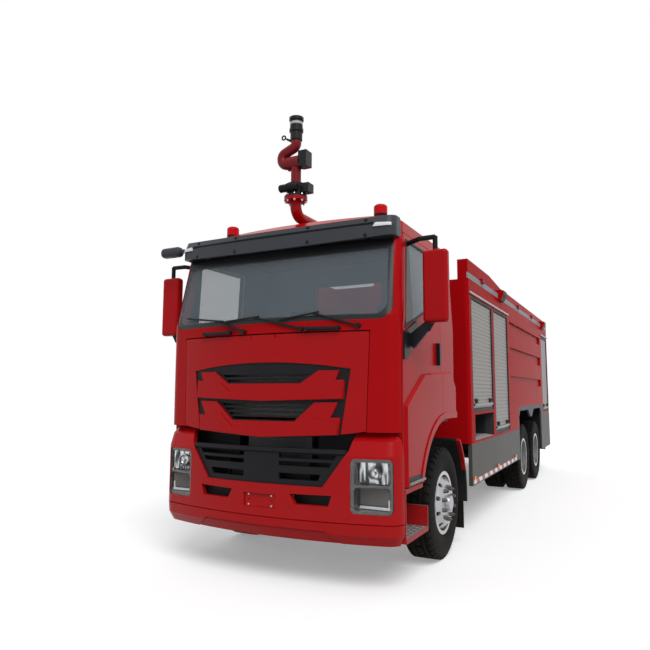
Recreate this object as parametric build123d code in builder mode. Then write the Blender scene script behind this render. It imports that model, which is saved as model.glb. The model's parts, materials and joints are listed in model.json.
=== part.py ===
from build123d import *
from math import asin, cos, pi, sin, sqrt
import os

# Tank fire engine with a forward cab, three axles and a roof monitor. Millimetres.
# Front faces -Y, the driver's side is +X, the wheels stand on Z = 0.
# Stations are distances behind the foremost point of the bumper.

LENGTH = 9680.0
HALF_WIDTH = 1250.0
FIT = 0.3

# Wheels and axles
FRONT_AXLE = 1510.0
REAR_AXLES = (6340.0, 7710.0)
HUB_Z = 542.0
TYRE_R = 542.0
TYRE_W = 300.0
TREAD_W = 250.0
SHOULDER_R = 515.0
BULGE_R = 410.0
BEAD_R = 286.0
BEAD_W = 236.0
FLANGE_R = 305.0
BARREL_R = 270.0
WHEEL_X = 1075.0
TWIN_PITCH = 345.0
DISC_T = 15.0
FRONT_DISC = 70.0
HAND_HOLES = 10
HAND_HOLE_R = 27.0
HAND_HOLE_PCR = 205.0
REAR_HOLE_R = 21.0
REAR_HOLE_PCR = 233.0
HUB_R = 95.0
SPINDLE_R = 45.0
REAR_SPINDLE_R = 58.0
REAR_HUB_R = 108.0
KING_PIN_X = 980.0
KING_PIN_R = 28.0
BOSS_R = 60.0
BEAM_BOTTOM = 480.0
BEAM_TOP = 600.0
BEAM_HALF_W = 50.0
YOKE_GAP = 6.0
YOKE_ARM = 44.0

# Chassis
RAIL_X = 430.0
RAIL_TOP = 1040.0
RAIL_H = 280.0
RAIL_FLANGE = 80.0
RAIL_T = 10.0
RAIL_FRONT = 140.0
RAIL_REAR = 9480.0
CROSS_STATIONS = (200.0, 2800.0, 3950.0, 5300.0, 7025.0, 8500.0, 9420.0)
SPRING_X = 390.0
SPRING_W = 90.0

# Cab
FRONT_RADIUS = 4200.0
CAB_REAR = 1880.0
CAB_WALL = 60.0
FLOOR_Z = 1400.0
FLOOR_T = 40.0
SCREEN_X = 1176.0
SCREEN_Z = 2255.0
SCREEN_TOP = 2965.0
SCREEN_R = 120.0
GLASS_SET = 6.0
GLASS_T = 8.0
GAP = 6.0
DOOR_FRONT = 300.0
DOOR_REAR = 1400.0
DOOR_BOTTOM = 850.0
DOOR_TOP = 3062.0
BELT_Z = 2372.0
ARCH_R = 830.0
ARCH_TOP = 1372.0
FLARE = 25.0
ARCH_LIP = 10.0
ARCH_LIP_W = 62.0
FLAP_TOP = 2150.0
GRILLE_SIDE_Z = 1835.0
GRILLE_TOP = 1900.0
LEDGE_Z = 1122.0
LEDGE_H = 34.0
FLAP_AXIS_STATION = 35.0
FLAP_AXIS_Z = FLAP_TOP - 8.0
FLAP_PIN_R = 4.0
HINGE_R = 8.5
HINGE_X = 1216.0
HINGE_STATION = DOOR_FRONT + 4.0
HINGE_H = 110.0
HINGE_GAP = 12.0
DOOR_SLIT = 16.0
POST_SLIT = 25.0

# Superstructure
BODY_FRONT = 2520.0
TANK_FRONT = 5000.0
TANK_REAR = 8560.0
BODY_REAR = 9580.0
BODY_TOP = 2990.0
TANK_BOTTOM = 1400.0
REAR_FLOOR = 1200.0
BAY_DEPTH = 600.0
SKIRT_T = 45.0
SKIRT_BOTTOM = 560.0
GUIDE_W = 32.0
SLAT = 50.0
PARAPET_W = 125.0
LADDER_X = -1090.0
LADDER_W = 350.0

# Monitor
MONITOR_STATION = 590.0
PIPE_R = 57.0
PIPE_Z = 3405.0
FLANGE_Z = 3560.0
FLANGE_T = 22.0
FLANGE_DISC_R = 118.0
SWIVEL_R = 96.0
PITCH_Z = 3960.0
NECK_R = 52.0
JOINT_X = -58.0
NOZZLE_TOP = 4440.0

# Each row: height, front station, half width, corner radius.
CAB_SECTIONS = (
    (DOOR_BOTTOM, 25.0, 1225.0, 150.0),
    (FLOOR_Z, 25.0, 1225.0, 150.0),
    (2290.0, 30.0, 1232.0, 150.0),
    (2990.0, 208.0, 1195.0, 100.0),
    (3190.0, 330.0, 1150.0, 100.0),
    (3300.0, 540.0, 1020.0, 100.0),
)
BUMPER_SECTIONS = (
    (560.0, 9.0, 1231.0, 145.0),
    (569.0, 0.0, 1240.0, 150.0),
    (1110.0, 0.0, 1240.0, 150.0),
    (1230.0, 40.0, 1230.0, 150.0),
    (1300.0, 115.0, 1208.0, 140.0),
)
LIP_SECTIONS = (
    (390.0, 55.0, 1210.0, 140.0),
    (470.0, 8.0, 1238.0, 150.0),
    (560.0 - FIT, 0.0, 1240.0, 150.0),
)
VISOR_SECTIONS = (
    (2880.0, 95.0, 1178.0, 90.0),
    (3090.0, 100.0, 1178.0, 90.0),
    (3260.0, 170.0, 1165.0, 90.0),
)
LAMP_X = 1010.0
LAMP_Z = 866.0
LAMP_W = 350.0
LAMP_H = 446.0
BUMPER_REAR = DOOR_FRONT - HINGE_GAP - 4.0
BUMPER_BACK = 700.0
VISOR_REAR = 440.0

# Each row: front station, rear station, sill height, head height of a side bay.
SIDE_BAYS = (
    (2650.0, 3825.0, 1400.0, 2800.0),
    (3925.0, 4950.0, 1070.0, 2800.0),
    (8630.0, 9530.0, REAR_FLOOR, 2800.0),
)
REAR_BAY_HALF = 600.0
REAR_BAY_HEAD = 2750.0
NICHE = (2730.0, 3800.0, 1065.0, 1370.0)
# Each row: bottom and top of a groove pressed into the tank's side.
GROOVES = ((2600.0, 2745.0), (2170.0, 2340.0), (1750.0, 1890.0))


def y_at(station):
    """Return the Y of a station counted from the front of the bumper."""
    return station - LENGTH / 2


def facing_front(station):
    """Return a plane across the truck whose sketches are drawn as X and Z and grow to the front."""
    return Plane.XZ.offset(-y_at(station))


def at_height(z):
    """Return a level plane."""
    return Plane.XY.offset(z)


def at_side(x):
    """Return a plane along the truck whose sketches are drawn as Y and Z and grow to +X."""
    return Plane.YZ.offset(x)


def outline(*points):
    """Draw a closed face through the points in the open sketch."""
    with BuildLine() as border:
        Polyline(*points, close=True)
    make_face(border.edges())


def side_outline(*points):
    """Draw a closed face through station and height pairs in the open sketch."""
    outline(*[(y_at(station), z) for station, z in points])


def box(x0, x1, station0, station1, z0, z1, mode=Mode.ADD):
    """Add a box between two corners to the open part."""
    with Locations(((x0 + x1) / 2, (y_at(station0) + y_at(station1)) / 2, (z0 + z1) / 2)):
        Box(abs(x1 - x0), abs(station1 - station0), abs(z1 - z0), mode=mode)


def pair(x0, x1, station0, station1, z0, z1, mode=Mode.ADD):
    """Add the same box on both sides of the truck."""
    box(x0, x1, station0, station1, z0, z1, mode=mode)
    box(-x1, -x0, station0, station1, z0, z1, mode=mode)


def rod(start, end, radius, mode=Mode.ADD):
    """Add a round bar between two points given as X, station and Z."""
    first = Vector(start[0], y_at(start[1]), start[2])
    last = Vector(end[0], y_at(end[1]), end[2])
    with BuildSketch(Plane(origin=first, z_dir=last - first)) as end_face:
        Circle(radius)
    extrude(end_face.sketch, amount=(last - first).length, mode=mode)


def plan_outline(front, half_width, corner, rear):
    """Draw one plan section: bowed front, round front corners, straight sides and back."""
    tangent_x = (half_width - corner) / (1 - corner / FRONT_RADIUS)
    lean = asin(tangent_x / FRONT_RADIUS)
    tangent_y = y_at(front) + FRONT_RADIUS * (1 - cos(lean))
    centre_x = half_width - corner
    centre_y = tangent_y + corner * cos(lean)
    halfway = (lean + pi / 2) / 2
    mid_x = centre_x + corner * sin(halfway)
    mid_y = centre_y - corner * cos(halfway)
    back = y_at(rear)
    ThreePointArc((-tangent_x, tangent_y), (0, y_at(front)), (tangent_x, tangent_y))
    ThreePointArc((tangent_x, tangent_y), (mid_x, mid_y), (half_width, centre_y))
    Polyline((half_width, centre_y), (half_width, back), (-half_width, back), (-half_width, centre_y))
    ThreePointArc((-half_width, centre_y), (-mid_x, mid_y), (-tangent_x, tangent_y))


def stacked(sections, rear, inset=0.0, top_inset=0.0, open_below=0.0):
    """Return the body lofted through plan sections, each drawn in by the inset."""
    with BuildPart() as body:
        for index, (z, front, half_width, corner) in enumerate(sections):
            level = z - open_below if index == 0 else z
            level = level - top_inset if index == len(sections) - 1 else level
            radius = max(corner - 0.7 * inset, 40.0)
            with BuildSketch(at_height(level)):
                with BuildLine():
                    plan_outline(front + inset, half_width - inset, radius, rear)
                make_face()
        loft(ruled=True)
    return body.part


def mirrored(part):
    """Return the same piece for the other side of the truck."""
    with BuildPart() as other:
        mirror(part, about=Plane.YZ)
    return other.part


def front_x(z_row, x, proud):
    """Return the station of the bowed front at X for a section's front station, standing proud of it."""
    return z_row + FRONT_RADIUS * (1 - cos(asin(x / FRONT_RADIUS))) - proud


def door_outline():
    """Draw the door's outline in the open side sketch."""
    side_outline(
        (DOOR_FRONT, DOOR_BOTTOM), (DOOR_FRONT, 2150), (478, DOOR_TOP),
        (DOOR_REAR, DOOR_TOP), (DOOR_REAR, DOOR_BOTTOM),
    )


def window_outline():
    """Draw the door window's outline in the open side sketch."""
    side_outline((355, 2185), (905, BELT_Z), (1345, BELT_Z), (1345, 3008), (515, 3008))


def arch_outline():
    """Draw the front wheel's arch in the open side sketch."""
    with Locations((y_at(FRONT_AXLE), HUB_Z)):
        Circle(ARCH_R)
    side_outline((FRONT_AXLE, HUB_Z), (1900, HUB_Z), (1900, ARCH_TOP), (FRONT_AXLE, ARCH_TOP))


def flap_outline():
    """Draw the front flap's outline in the open front sketch."""
    with BuildLine() as border:
        Polyline((960, 1312), (990, FLAP_TOP), (-990, FLAP_TOP), (-960, 1312))
        ThreePointArc((-960, 1312), (0, 1240), (960, 1312))
    make_face(border.edges())


def screen_outline():
    """Draw the windscreen's outline, rounded at its lower corners, in the open front sketch."""
    low = SCREEN_Z + SCREEN_R
    bend = SCREEN_R * (1 - sqrt(0.5))
    with BuildLine() as border:
        Polyline((SCREEN_X, low), (SCREEN_X - 38, SCREEN_TOP), (38 - SCREEN_X, SCREEN_TOP), (-SCREEN_X, low))
        ThreePointArc((-SCREEN_X, low), (bend - SCREEN_X, SCREEN_Z + bend), (SCREEN_R - SCREEN_X, SCREEN_Z))
        Line((SCREEN_R - SCREEN_X, SCREEN_Z), (SCREEN_X - SCREEN_R, SCREEN_Z))
        ThreePointArc((SCREEN_X - SCREEN_R, SCREEN_Z), (SCREEN_X - bend, SCREEN_Z + bend), (SCREEN_X, low))
    make_face(border.edges())


def grille_outline():
    """Draw the upper grille's outline in the open front sketch."""
    with BuildLine() as border:
        Polyline((835, GRILLE_SIDE_Z), (750, 1290), (740, 1200),
                 (-740, 1200), (-750, 1290), (-835, GRILLE_SIDE_Z))
        ThreePointArc((-835, GRILLE_SIDE_Z), (0, GRILLE_TOP), (835, GRILLE_SIDE_Z))
    make_face(border.edges())


def lamp_outline(side):
    """Draw a headlamp's outline in the open front sketch."""
    with Locations((side * LAMP_X, LAMP_Z)):
        RectangleRounded(LAMP_W, LAMP_H, 45)


# Cab skin, its lining and the layer the panes lie in.
cab_outer = stacked(CAB_SECTIONS, CAB_REAR)
cab_lining = stacked(CAB_SECTIONS, CAB_REAR - CAB_WALL, CAB_WALL, 50.0, 5.0)
pane_outer = stacked(CAB_SECTIONS, CAB_REAR - GLASS_SET, GLASS_SET, GLASS_SET)
pane_inner = stacked(CAB_SECTIONS, CAB_REAR - GLASS_SET - GLASS_T, GLASS_SET + GLASS_T, 14.0, 5.0)
bar_outer = stacked(CAB_SECTIONS, CAB_REAR, -14.0)
fold_outer = stacked(CAB_SECTIONS, CAB_REAR, -25.0)
bar_inner = stacked(CAB_SECTIONS, CAB_REAR, 12.0 - FIT, 0.0, 5.0)
grille_outer = stacked(CAB_SECTIONS, CAB_REAR, 12.0)
grille_inner = stacked(CAB_SECTIONS, CAB_REAR, 48.0, 0.0, 5.0)

with BuildPart() as flare:
    with BuildSketch(at_side(1190)):
        side_outline((DOOR_FRONT, 1530), (845, 1835), (1720, 1880), (CAB_REAR, 1730), (CAB_REAR, 1300),
                     (845, DOOR_BOTTOM), (DOOR_FRONT, DOOR_BOTTOM))
    with BuildSketch(at_side(1225 + FLARE)):
        side_outline((DOOR_FRONT + 60, 1520), (845, 1795), (1705, 1838), (CAB_REAR, 1690), (CAB_REAR, 1300),
                     (845, DOOR_BOTTOM), (DOOR_FRONT + 60, DOOR_BOTTOM))
    loft(ruled=True)

with BuildPart() as arch_lip:
    with BuildSketch(at_side(1190)):
        with Locations((y_at(FRONT_AXLE), HUB_Z)):
            Circle(ARCH_R + ARCH_LIP_W)
        side_outline((FRONT_AXLE, HUB_Z), (CAB_REAR, HUB_Z), (CAB_REAR, ARCH_TOP + ARCH_LIP_W),
                     (FRONT_AXLE, ARCH_TOP + ARCH_LIP_W))
    extrude(amount=1225 + FLARE + ARCH_LIP - 1190)
    box(1100, 1300, DOOR_FRONT, CAB_REAR, DOOR_BOTTOM, 1600, mode=Mode.INTERSECT)

with BuildPart() as cab_wall:
    add(cab_outer)
    for bulge in (flare.part, arch_lip.part):
        add(bulge)
        mirror(bulge, about=Plane.YZ)
    add(cab_lining, mode=Mode.SUBTRACT)
    with BuildSketch(at_side(-1400)):
        arch_outline()
    extrude(amount=2800, mode=Mode.SUBTRACT)

with BuildPart() as cab_deck:
    add(cab_outer)
    box(-1300, 1300, 250, 1900, FLOOR_Z, FLOOR_Z + FLOOR_T, mode=Mode.INTERSECT)

with BuildPart() as cowl_shelf:
    add(cab_outer)
    box(-1300, 1300, -100, 290, 2235, 2270, mode=Mode.INTERSECT)

with BuildPart() as fire_wall:
    add(cab_outer)
    box(-1300, 1300, 250, 290, FLOOR_Z, 2270, mode=Mode.INTERSECT)

with BuildPart() as cab_shell:
    add(cab_wall.part)
    box(-1400, 1400, -200, DOOR_FRONT, 700, FLOOR_Z - 95, mode=Mode.SUBTRACT)
    box(-1160, 1160, DOOR_FRONT, 2000, 700, FLOOR_Z, mode=Mode.SUBTRACT)
    with BuildSketch(facing_front(240)):
        flap_outline()
        offset(amount=GAP, kind=Kind.INTERSECTION)
        outline((998, FLAP_TOP - 20), (998, FLAP_TOP + HINGE_GAP),
                (-998, FLAP_TOP + HINGE_GAP), (-998, FLAP_TOP - 20))
    extrude(amount=400, mode=Mode.SUBTRACT)
    add(cab_deck.part)
    add(cowl_shelf.part)
    add(fire_wall.part)
    with BuildSketch(facing_front(800)):
        screen_outline()
    extrude(amount=900, mode=Mode.SUBTRACT)
    with BuildSketch(facing_front(1900)):
        outline((430, 2400), (430, 2900), (-430, 2900), (-430, 2400))
    extrude(amount=100, mode=Mode.SUBTRACT)
    with BuildSketch(at_side(1100)):
        door_outline()
        offset(amount=GAP, kind=Kind.INTERSECTION)
    cut = extrude(amount=300, mode=Mode.SUBTRACT)
    mirror(cut, about=Plane.YZ, mode=Mode.SUBTRACT)
    with BuildSketch(at_side(1100)):
        side_outline((DOOR_FRONT - DOOR_SLIT, DOOR_BOTTOM - GAP), (DOOR_FRONT - DOOR_SLIT, 2100),
                     (DOOR_FRONT - POST_SLIT, 2150), (DOOR_FRONT + 29 - POST_SLIT, 2300),
                     (DOOR_FRONT + 49 - 0.6 * POST_SLIT, 2400), (DOOR_FRONT + 60, 2480),
                     (DOOR_FRONT + 5, 2160), (DOOR_FRONT + 5, DOOR_BOTTOM - GAP))
    slit = extrude(amount=300, mode=Mode.SUBTRACT)
    mirror(slit, about=Plane.YZ, mode=Mode.SUBTRACT)

with BuildPart() as cab_glass:
    add(pane_outer)
    add(pane_inner, mode=Mode.SUBTRACT)
    with BuildSketch(facing_front(800)):
        screen_outline()
        offset(amount=-FIT, kind=Kind.INTERSECTION)
    extrude(amount=900, mode=Mode.INTERSECT)

with BuildPart() as rear_pane:
    box(-430 + FIT, 430 - FIT, 1846, 1854, 2400 + FIT, 2900 - FIT)

with BuildPart() as cab_panes:
    add(cab_glass.part)
    add(rear_pane.part)

with BuildPart() as door_left:
    add(cab_wall.part)
    with BuildSketch(at_side(1100)):
        door_outline()
    extrude(amount=300, mode=Mode.INTERSECT)
    with BuildSketch(at_side(1000)):
        window_outline()
    extrude(amount=400, mode=Mode.SUBTRACT)
    for z in (1560, 2030):
        rod((HINGE_X, HINGE_STATION, z), (HINGE_X, HINGE_STATION, z + HINGE_H), HINGE_R)

with BuildPart() as door_glass_left:
    add(pane_outer)
    add(pane_inner, mode=Mode.SUBTRACT)
    with BuildSketch(at_side(1000)):
        window_outline()
        offset(amount=-FIT, kind=Kind.INTERSECTION)
    extrude(amount=400, mode=Mode.INTERSECT)

with BuildPart() as mirror_head:
    box(1368, 1592, 425, 520, 2235, 2868)
    fillet(mirror_head.edges(), 32)

with BuildPart() as mirror_arms:
    with BuildSketch(at_side(1205)):
        side_outline((312, 1915), (430, 1945), (560, 2105), (700, 2275),
                     (640, 2275), (430, 2190), (312, 2150))
    extrude(amount=40)
    box(1205, 1268, 1262, 1306, 1900, 2120)
    rod((1150, 560, 2960), (1330, 480, 2985), 22)
    rod((1330, 480, 2985), (1478, 472, 2985), 22)
    rod((1478, 472, 2990), (1478, 472, 2800), 22)
    rod((1210, 480, 2080), (1400, 475, 2180), 22)
    rod((1400, 475, 2170), (1470, 472, 2290), 22)
    add(mirror_head.part)
    add(door_left.part, mode=Mode.SUBTRACT)
    add(door_glass_left.part, mode=Mode.SUBTRACT)

with BuildPart() as front_flap:
    add(cab_wall.part)
    with BuildSketch(facing_front(240)):
        flap_outline()
    extrude(amount=400, mode=Mode.INTERSECT)
    with BuildSketch(facing_front(240)):
        grille_outline()
    extrude(amount=400, mode=Mode.SUBTRACT)

# Half outlines of the two painted grille bars, X and Z from the middle outwards.
UPPER_BAR = (
    (0, 1712), (390, 1712), (555, 1822), (740, 1822), (706, 1742), (782, 1742), (777, 1580), (0, 1556),
)
LOWER_BAR = (
    (0, 1382), (332, 1382), (520, 1548), (728, 1552), (664, 1422), (746, 1425), (727, 1278), (0, 1240),
)

# The lower, prouder half of each bar below its fold.
UPPER_FOLD = ((0, 1640), (362, 1640), (478, 1722), (640, 1700), (776, 1690), (773, 1584), (0, 1560))
LOWER_FOLD = ((0, 1318), (312, 1318), (462, 1440), (600, 1400), (728, 1385), (722, 1282), (0, 1244))

with BuildPart() as grille_bars:
    add(bar_outer)
    add(bar_inner, mode=Mode.SUBTRACT)
    with BuildSketch(facing_front(240)):
        for half in (UPPER_BAR, LOWER_BAR):
            outline(*half, *[(-x, z) for x, z in reversed(half[1:-1])])
    extrude(amount=400, mode=Mode.INTERSECT)

with BuildPart() as bar_folds:
    add(fold_outer)
    add(bar_inner, mode=Mode.SUBTRACT)
    with BuildSketch(facing_front(240)):
        for half in (UPPER_FOLD, LOWER_FOLD):
            outline(*half, *[(-x, z) for x, z in reversed(half[1:-1])])
    extrude(amount=400, mode=Mode.INTERSECT)

with BuildPart() as flap_red:
    add(front_flap.part)
    add(grille_bars.part)
    add(bar_folds.part)
    pair(95, 135, FLAP_AXIS_STATION - FLAP_PIN_R, 130, FLAP_TOP - 30, FLAP_TOP + 10, mode=Mode.SUBTRACT)
    for x in (-140, 90):
        rod((x, FLAP_AXIS_STATION, FLAP_AXIS_Z), (x + 50, FLAP_AXIS_STATION, FLAP_AXIS_Z), FLAP_PIN_R)

with BuildPart() as upper_grille:
    add(grille_outer)
    add(grille_inner, mode=Mode.SUBTRACT)
    with BuildSketch(facing_front(240)):
        grille_outline()
        offset(amount=-FIT, kind=Kind.INTERSECTION)
    extrude(amount=400, mode=Mode.INTERSECT)
    with BuildSketch(facing_front(240)):
        flap_outline()
    extrude(amount=400, mode=Mode.INTERSECT)
    with BuildSketch(facing_front(240)):
        for z, half in ((1770, 450), (1725, 400), (1510, 455), (1470, 415), (1430, 370), (1392, 335)):
            outline((half - 12, z), (half + 12, z + 24), (-half - 12, z + 24), (-half + 12, z))
    extrude(amount=400, mode=Mode.SUBTRACT)

# Bumper, its lamps and its grille.
bumper_outer = stacked(BUMPER_SECTIONS, BUMPER_BACK)
bumper_inner = stacked(BUMPER_SECTIONS, BUMPER_BACK + 30, 50.0, -8.0, 8.0)
lens_inner = stacked(BUMPER_SECTIONS, BUMPER_BACK, 14.0 - FIT, 0.0, 5.0)
lamp_front = stacked(BUMPER_SECTIONS, BUMPER_BACK, 14.0)
lamp_back = stacked(BUMPER_SECTIONS, BUMPER_BACK, 110.0, 0.0, 5.0)
lamp_bowl = stacked(BUMPER_SECTIONS, BUMPER_BACK, 95.0, 0.0, 5.0)
low_front = stacked(BUMPER_SECTIONS, BUMPER_BACK, 20.0)
low_back = stacked(BUMPER_SECTIONS, BUMPER_BACK, 55.0, 0.0, 5.0)
lip_outer = stacked(LIP_SECTIONS, BUMPER_BACK)
lip_inner = stacked(LIP_SECTIONS, BUMPER_BACK + 30, 45.0, -8.0, 8.0)

with BuildPart() as bumper:
    add(bumper_outer)
    add(bumper_inner, mode=Mode.SUBTRACT)
    with BuildSketch(facing_front(300)):
        outline((600, 845), (822, 1150), (870, 1330), (-870, 1330), (-822, 1150), (-600, 845))
        for side in (-1, 1):
            outline((side * 300, 775), (side * 680, 782), (side * 650, 690), (side * 345, 690))
            lamp_outline(side)
    extrude(amount=400, mode=Mode.SUBTRACT)
    box(-165, 165, -20, 20, 640, 757, mode=Mode.SUBTRACT)
    for x in (-120, 120):
        rod((x, -20, 698), (x, 90, 698), 7, mode=Mode.SUBTRACT)
    box(-1400, 1400, BUMPER_REAR, 900, 300, 1400, mode=Mode.SUBTRACT)
    pair(360, RAIL_X, 60, RAIL_FRONT - FIT, 780, 840)

lip_set_back = stacked(LIP_SECTIONS, BUMPER_BACK, 18.0, -8.0, 8.0)

with BuildPart() as lip_relief:
    add(lip_outer)
    add(lip_set_back, mode=Mode.SUBTRACT)
    with BuildSketch(facing_front(400)):
        outline((-760, 380), (-610, 492), (610, 492), (760, 380))
    extrude(amount=500, mode=Mode.INTERSECT)

with BuildPart() as bumper_lip:
    add(lip_outer)
    add(lip_relief.part, mode=Mode.SUBTRACT)
    add(lip_inner, mode=Mode.SUBTRACT)
    box(-1400, 1400, BUMPER_REAR, 900, 300, 1400, mode=Mode.SUBTRACT)

ledge_front = stacked(BUMPER_SECTIONS, BUMPER_BACK, 2.0)

with BuildPart() as grille_ledge:
    add(ledge_front)
    add(low_back, mode=Mode.SUBTRACT)
    box(-798, 798, -50, 300, LEDGE_Z, LEDGE_Z + LEDGE_H, mode=Mode.INTERSECT)

with BuildPart() as lower_grille:
    add(low_front)
    add(low_back, mode=Mode.SUBTRACT)
    with BuildSketch(facing_front(240)):
        outline((600 - FIT, 845 + FIT), (822 - FIT, 1150), (-822 + FIT, 1150), (-600 + FIT, 845 + FIT))
    extrude(amount=400, mode=Mode.INTERSECT)
    with BuildSketch(facing_front(240)):
        for side in (-1, 1):
            for z0, z1, x1 in ((1070, 1110, 720), (1005, 1045, 675), (890, 945, 575)):
                outline((side * 185, z0), (side * (x1 - 25), z0), (side * x1, z1), (side * 185, z1))
    extrude(amount=400, mode=Mode.SUBTRACT)
    add(grille_ledge.part)

with BuildPart() as headlamp_housings:
    add(lamp_front)
    add(lamp_back, mode=Mode.SUBTRACT)
    with BuildSketch(facing_front(280)):
        for side in (-1, 1):
            lamp_outline(side)
        offset(amount=-FIT)
    extrude(amount=400, mode=Mode.INTERSECT)
    with BuildSketch(facing_front(225)):
        for side in (-1, 1):
            with Locations((side * LAMP_X, LAMP_Z + 102)):
                RectangleRounded(LAMP_W - 56, 186, 30)
            with Locations((side * LAMP_X, LAMP_Z - 102)):
                RectangleRounded(LAMP_W - 56, 186, 30)
    extrude(amount=400, mode=Mode.SUBTRACT)
    pair(LAMP_X - 155, LAMP_X + 150, 225, 245, 665, 1068)

with BuildPart() as headlamp_lenses:
    add(bumper_outer)
    add(lens_inner, mode=Mode.SUBTRACT)
    with BuildSketch(facing_front(280)):
        for side in (-1, 1):
            lamp_outline(side)
        offset(amount=-FIT)
    extrude(amount=400, mode=Mode.INTERSECT)

# Sun visor on brackets from the roof's front.
visor_outer = stacked(VISOR_SECTIONS, VISOR_REAR)
visor_inner = stacked(VISOR_SECTIONS, VISOR_REAR + 40, 35.0, -8.0, 8.0)

with BuildPart() as kerb_mirror:
    box(-1455, -1195, 215, 330, 3045, 3150)
    fillet(kerb_mirror.edges(), 45)

with BuildPart() as visor_lamps:
    add(stacked(VISOR_SECTIONS, VISOR_REAR, -12.0))
    with BuildSketch(facing_front(420)):
        for side in (-1, 1):
            outline((side * 1000, 3074), (side * 1152, 3080), (side * 1152, 3108), (side * 1022, 3112))
    extrude(amount=500, mode=Mode.INTERSECT)
    add(visor_outer, mode=Mode.SUBTRACT)

with BuildPart() as sun_visor:
    add(visor_outer)
    add(visor_inner, mode=Mode.SUBTRACT)
    with BuildSketch(facing_front(600)):
        with BuildLine():
            ThreePointArc((-1200, 3005), (0, 2945), (1200, 3005))
            Line((1200, 3005), (1200, 3190))
            ThreePointArc((1200, 3190), (0, 3130), (-1200, 3190))
            Line((-1200, 3190), (-1200, 3005))
        make_face()
    extrude(amount=700, mode=Mode.INTERSECT)
    for x in (-900, -320, 320, 900):
        box(x - 20, x + 20, front_x(120, x, 0), 520, 3075, 3100)
    rod((-1165, 280, 3100), (-1250, 275, 3100), 22)
    add(kerb_mirror.part)
    add(cab_outer, mode=Mode.SUBTRACT)

with BuildPart() as beacons:
    with BuildSketch(at_height(3300)):
        with Locations((-870, y_at(720)), (870, y_at(720))):
            Circle(66)
    extrude(amount=130)
    fillet(beacons.edges().group_by(Axis.Z)[-1], 30)

# Each row: X and Z of a wiper's pivot, elbow and tip.
WIPERS = (
    (-210, 2186, -540, 2305, -980, 2360),
    (390, 2188, -100, 2312, -415, 2290),
    (900, 2202, 495, 2320, 170, 2272),
)

with BuildPart() as front_fittings:
    for pivot_x, pivot_z, elbow_x, elbow_z, tip_x, tip_z in WIPERS:
        elbow_y = front_x(30 + 0.254 * (elbow_z - 2290), elbow_x, 24)
        tip_y = front_x(30 + 0.254 * max(0, tip_z - 2290), tip_x, 22)
        heel = (elbow_x + 0.2 * (elbow_x - tip_x), elbow_y + 0.2 * (elbow_y - tip_y),
                elbow_z + 0.2 * (elbow_z - tip_z))
        rod((pivot_x, front_x(30, pivot_x, 29), pivot_z), (pivot_x, front_x(30, pivot_x, -40), pivot_z), 22)
        rod((pivot_x, front_x(30, pivot_x, 19), pivot_z), (elbow_x, elbow_y, elbow_z), 10.5)
        rod(heel, (tip_x, tip_y, tip_z), 9)
    for x0, x1 in ((-690, -370), (450, 730)):
        rod((x0, front_x(30, x0, 26), 2185), (x1, front_x(30, x1, 26), 2185), 16)
        rod((x0, front_x(30, x0, 40), 2185), (x0, front_x(30, x0, -30), 2185), 19)
        rod((x1, front_x(30, x1, 40), 2185), (x1, front_x(30, x1, -30), 2185), 19)
    add(cab_outer, mode=Mode.SUBTRACT)

# Inside the cab.
with BuildPart() as cab_interior:
    with BuildSketch(at_side(-1120)):
        side_outline((290, 1900), (430, 1900), (600, 2010), (640, 2190),
                     (560, 2290), (330, 2310), (290, 2270))
    extrude(amount=2240)
    box(330, 790, 520, 700, 2200, 2330)
    for x in (-560, 560):
        box(x - 190, x + 190, 1180, 1600, FLOOR_Z + FLOOR_T, 1690)
    box(-330, 330, 420, 1700, FLOOR_Z + FLOOR_T, 1640)

with BuildPart() as steering_wheel:
    with Locations(Location((560, y_at(800), 2270), (-28, 0, 0))):
        Torus(215, 17)
        Cylinder(52, 40)
        Box(400, 34, 18)
        with Locations((0, -105, 0)):
            Box(34, 200, 18)
        with Locations((0, 0, -120)):
            Cylinder(32, 240)
    add(cab_interior.part, mode=Mode.SUBTRACT)

with BuildPart() as seats:
    for x in (-560, 560):
        box(x - 255, x + 255, 1120, 1640, 1690, 1820)
        box(x - 250, x + 250, 1590, 1720, 1820, 2430)
        box(x - 150, x + 150, 1610, 1710, 2430, 2620)

# Chassis.
with BuildPart() as chassis_frame:
    rail_bottom = RAIL_TOP - RAIL_H
    inner = RAIL_X - RAIL_FLANGE
    web = RAIL_X - RAIL_T
    with BuildSketch(facing_front(RAIL_REAR)):
        outline((inner, rail_bottom), (RAIL_X, rail_bottom), (RAIL_X, RAIL_TOP), (inner, RAIL_TOP),
                (inner, RAIL_TOP - RAIL_T), (web, RAIL_TOP - RAIL_T), (web, rail_bottom + RAIL_T),
                (inner, rail_bottom + RAIL_T))
    rail = extrude(amount=RAIL_REAR - RAIL_FRONT)
    mirror(rail, about=Plane.YZ)
    for station in CROSS_STATIONS:
        box(-RAIL_X + 5, RAIL_X - 5, station - 40, station + 40, 820, 980)
    for station in (470, 1790):
        pair(350, RAIL_X, station, station + 70, RAIL_TOP - 5, FLOOR_Z - FIT)
    pair(RAIL_X - 5, 965, 300, 310, 580, 1290)

with BuildPart() as front_axle:
    box(-KING_PIN_X, KING_PIN_X, FRONT_AXLE - BEAM_HALF_W, FRONT_AXLE + BEAM_HALF_W, BEAM_BOTTOM, BEAM_TOP)
    for x in (-KING_PIN_X, KING_PIN_X):
        rod((x, FRONT_AXLE, BEAM_BOTTOM), (x, FRONT_AXLE, BEAM_TOP), BOSS_R)
    for x in (-KING_PIN_X, KING_PIN_X):
        rod((x, FRONT_AXLE, BEAM_BOTTOM), (x, FRONT_AXLE, BEAM_TOP), KING_PIN_R + FIT, mode=Mode.SUBTRACT)

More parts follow.
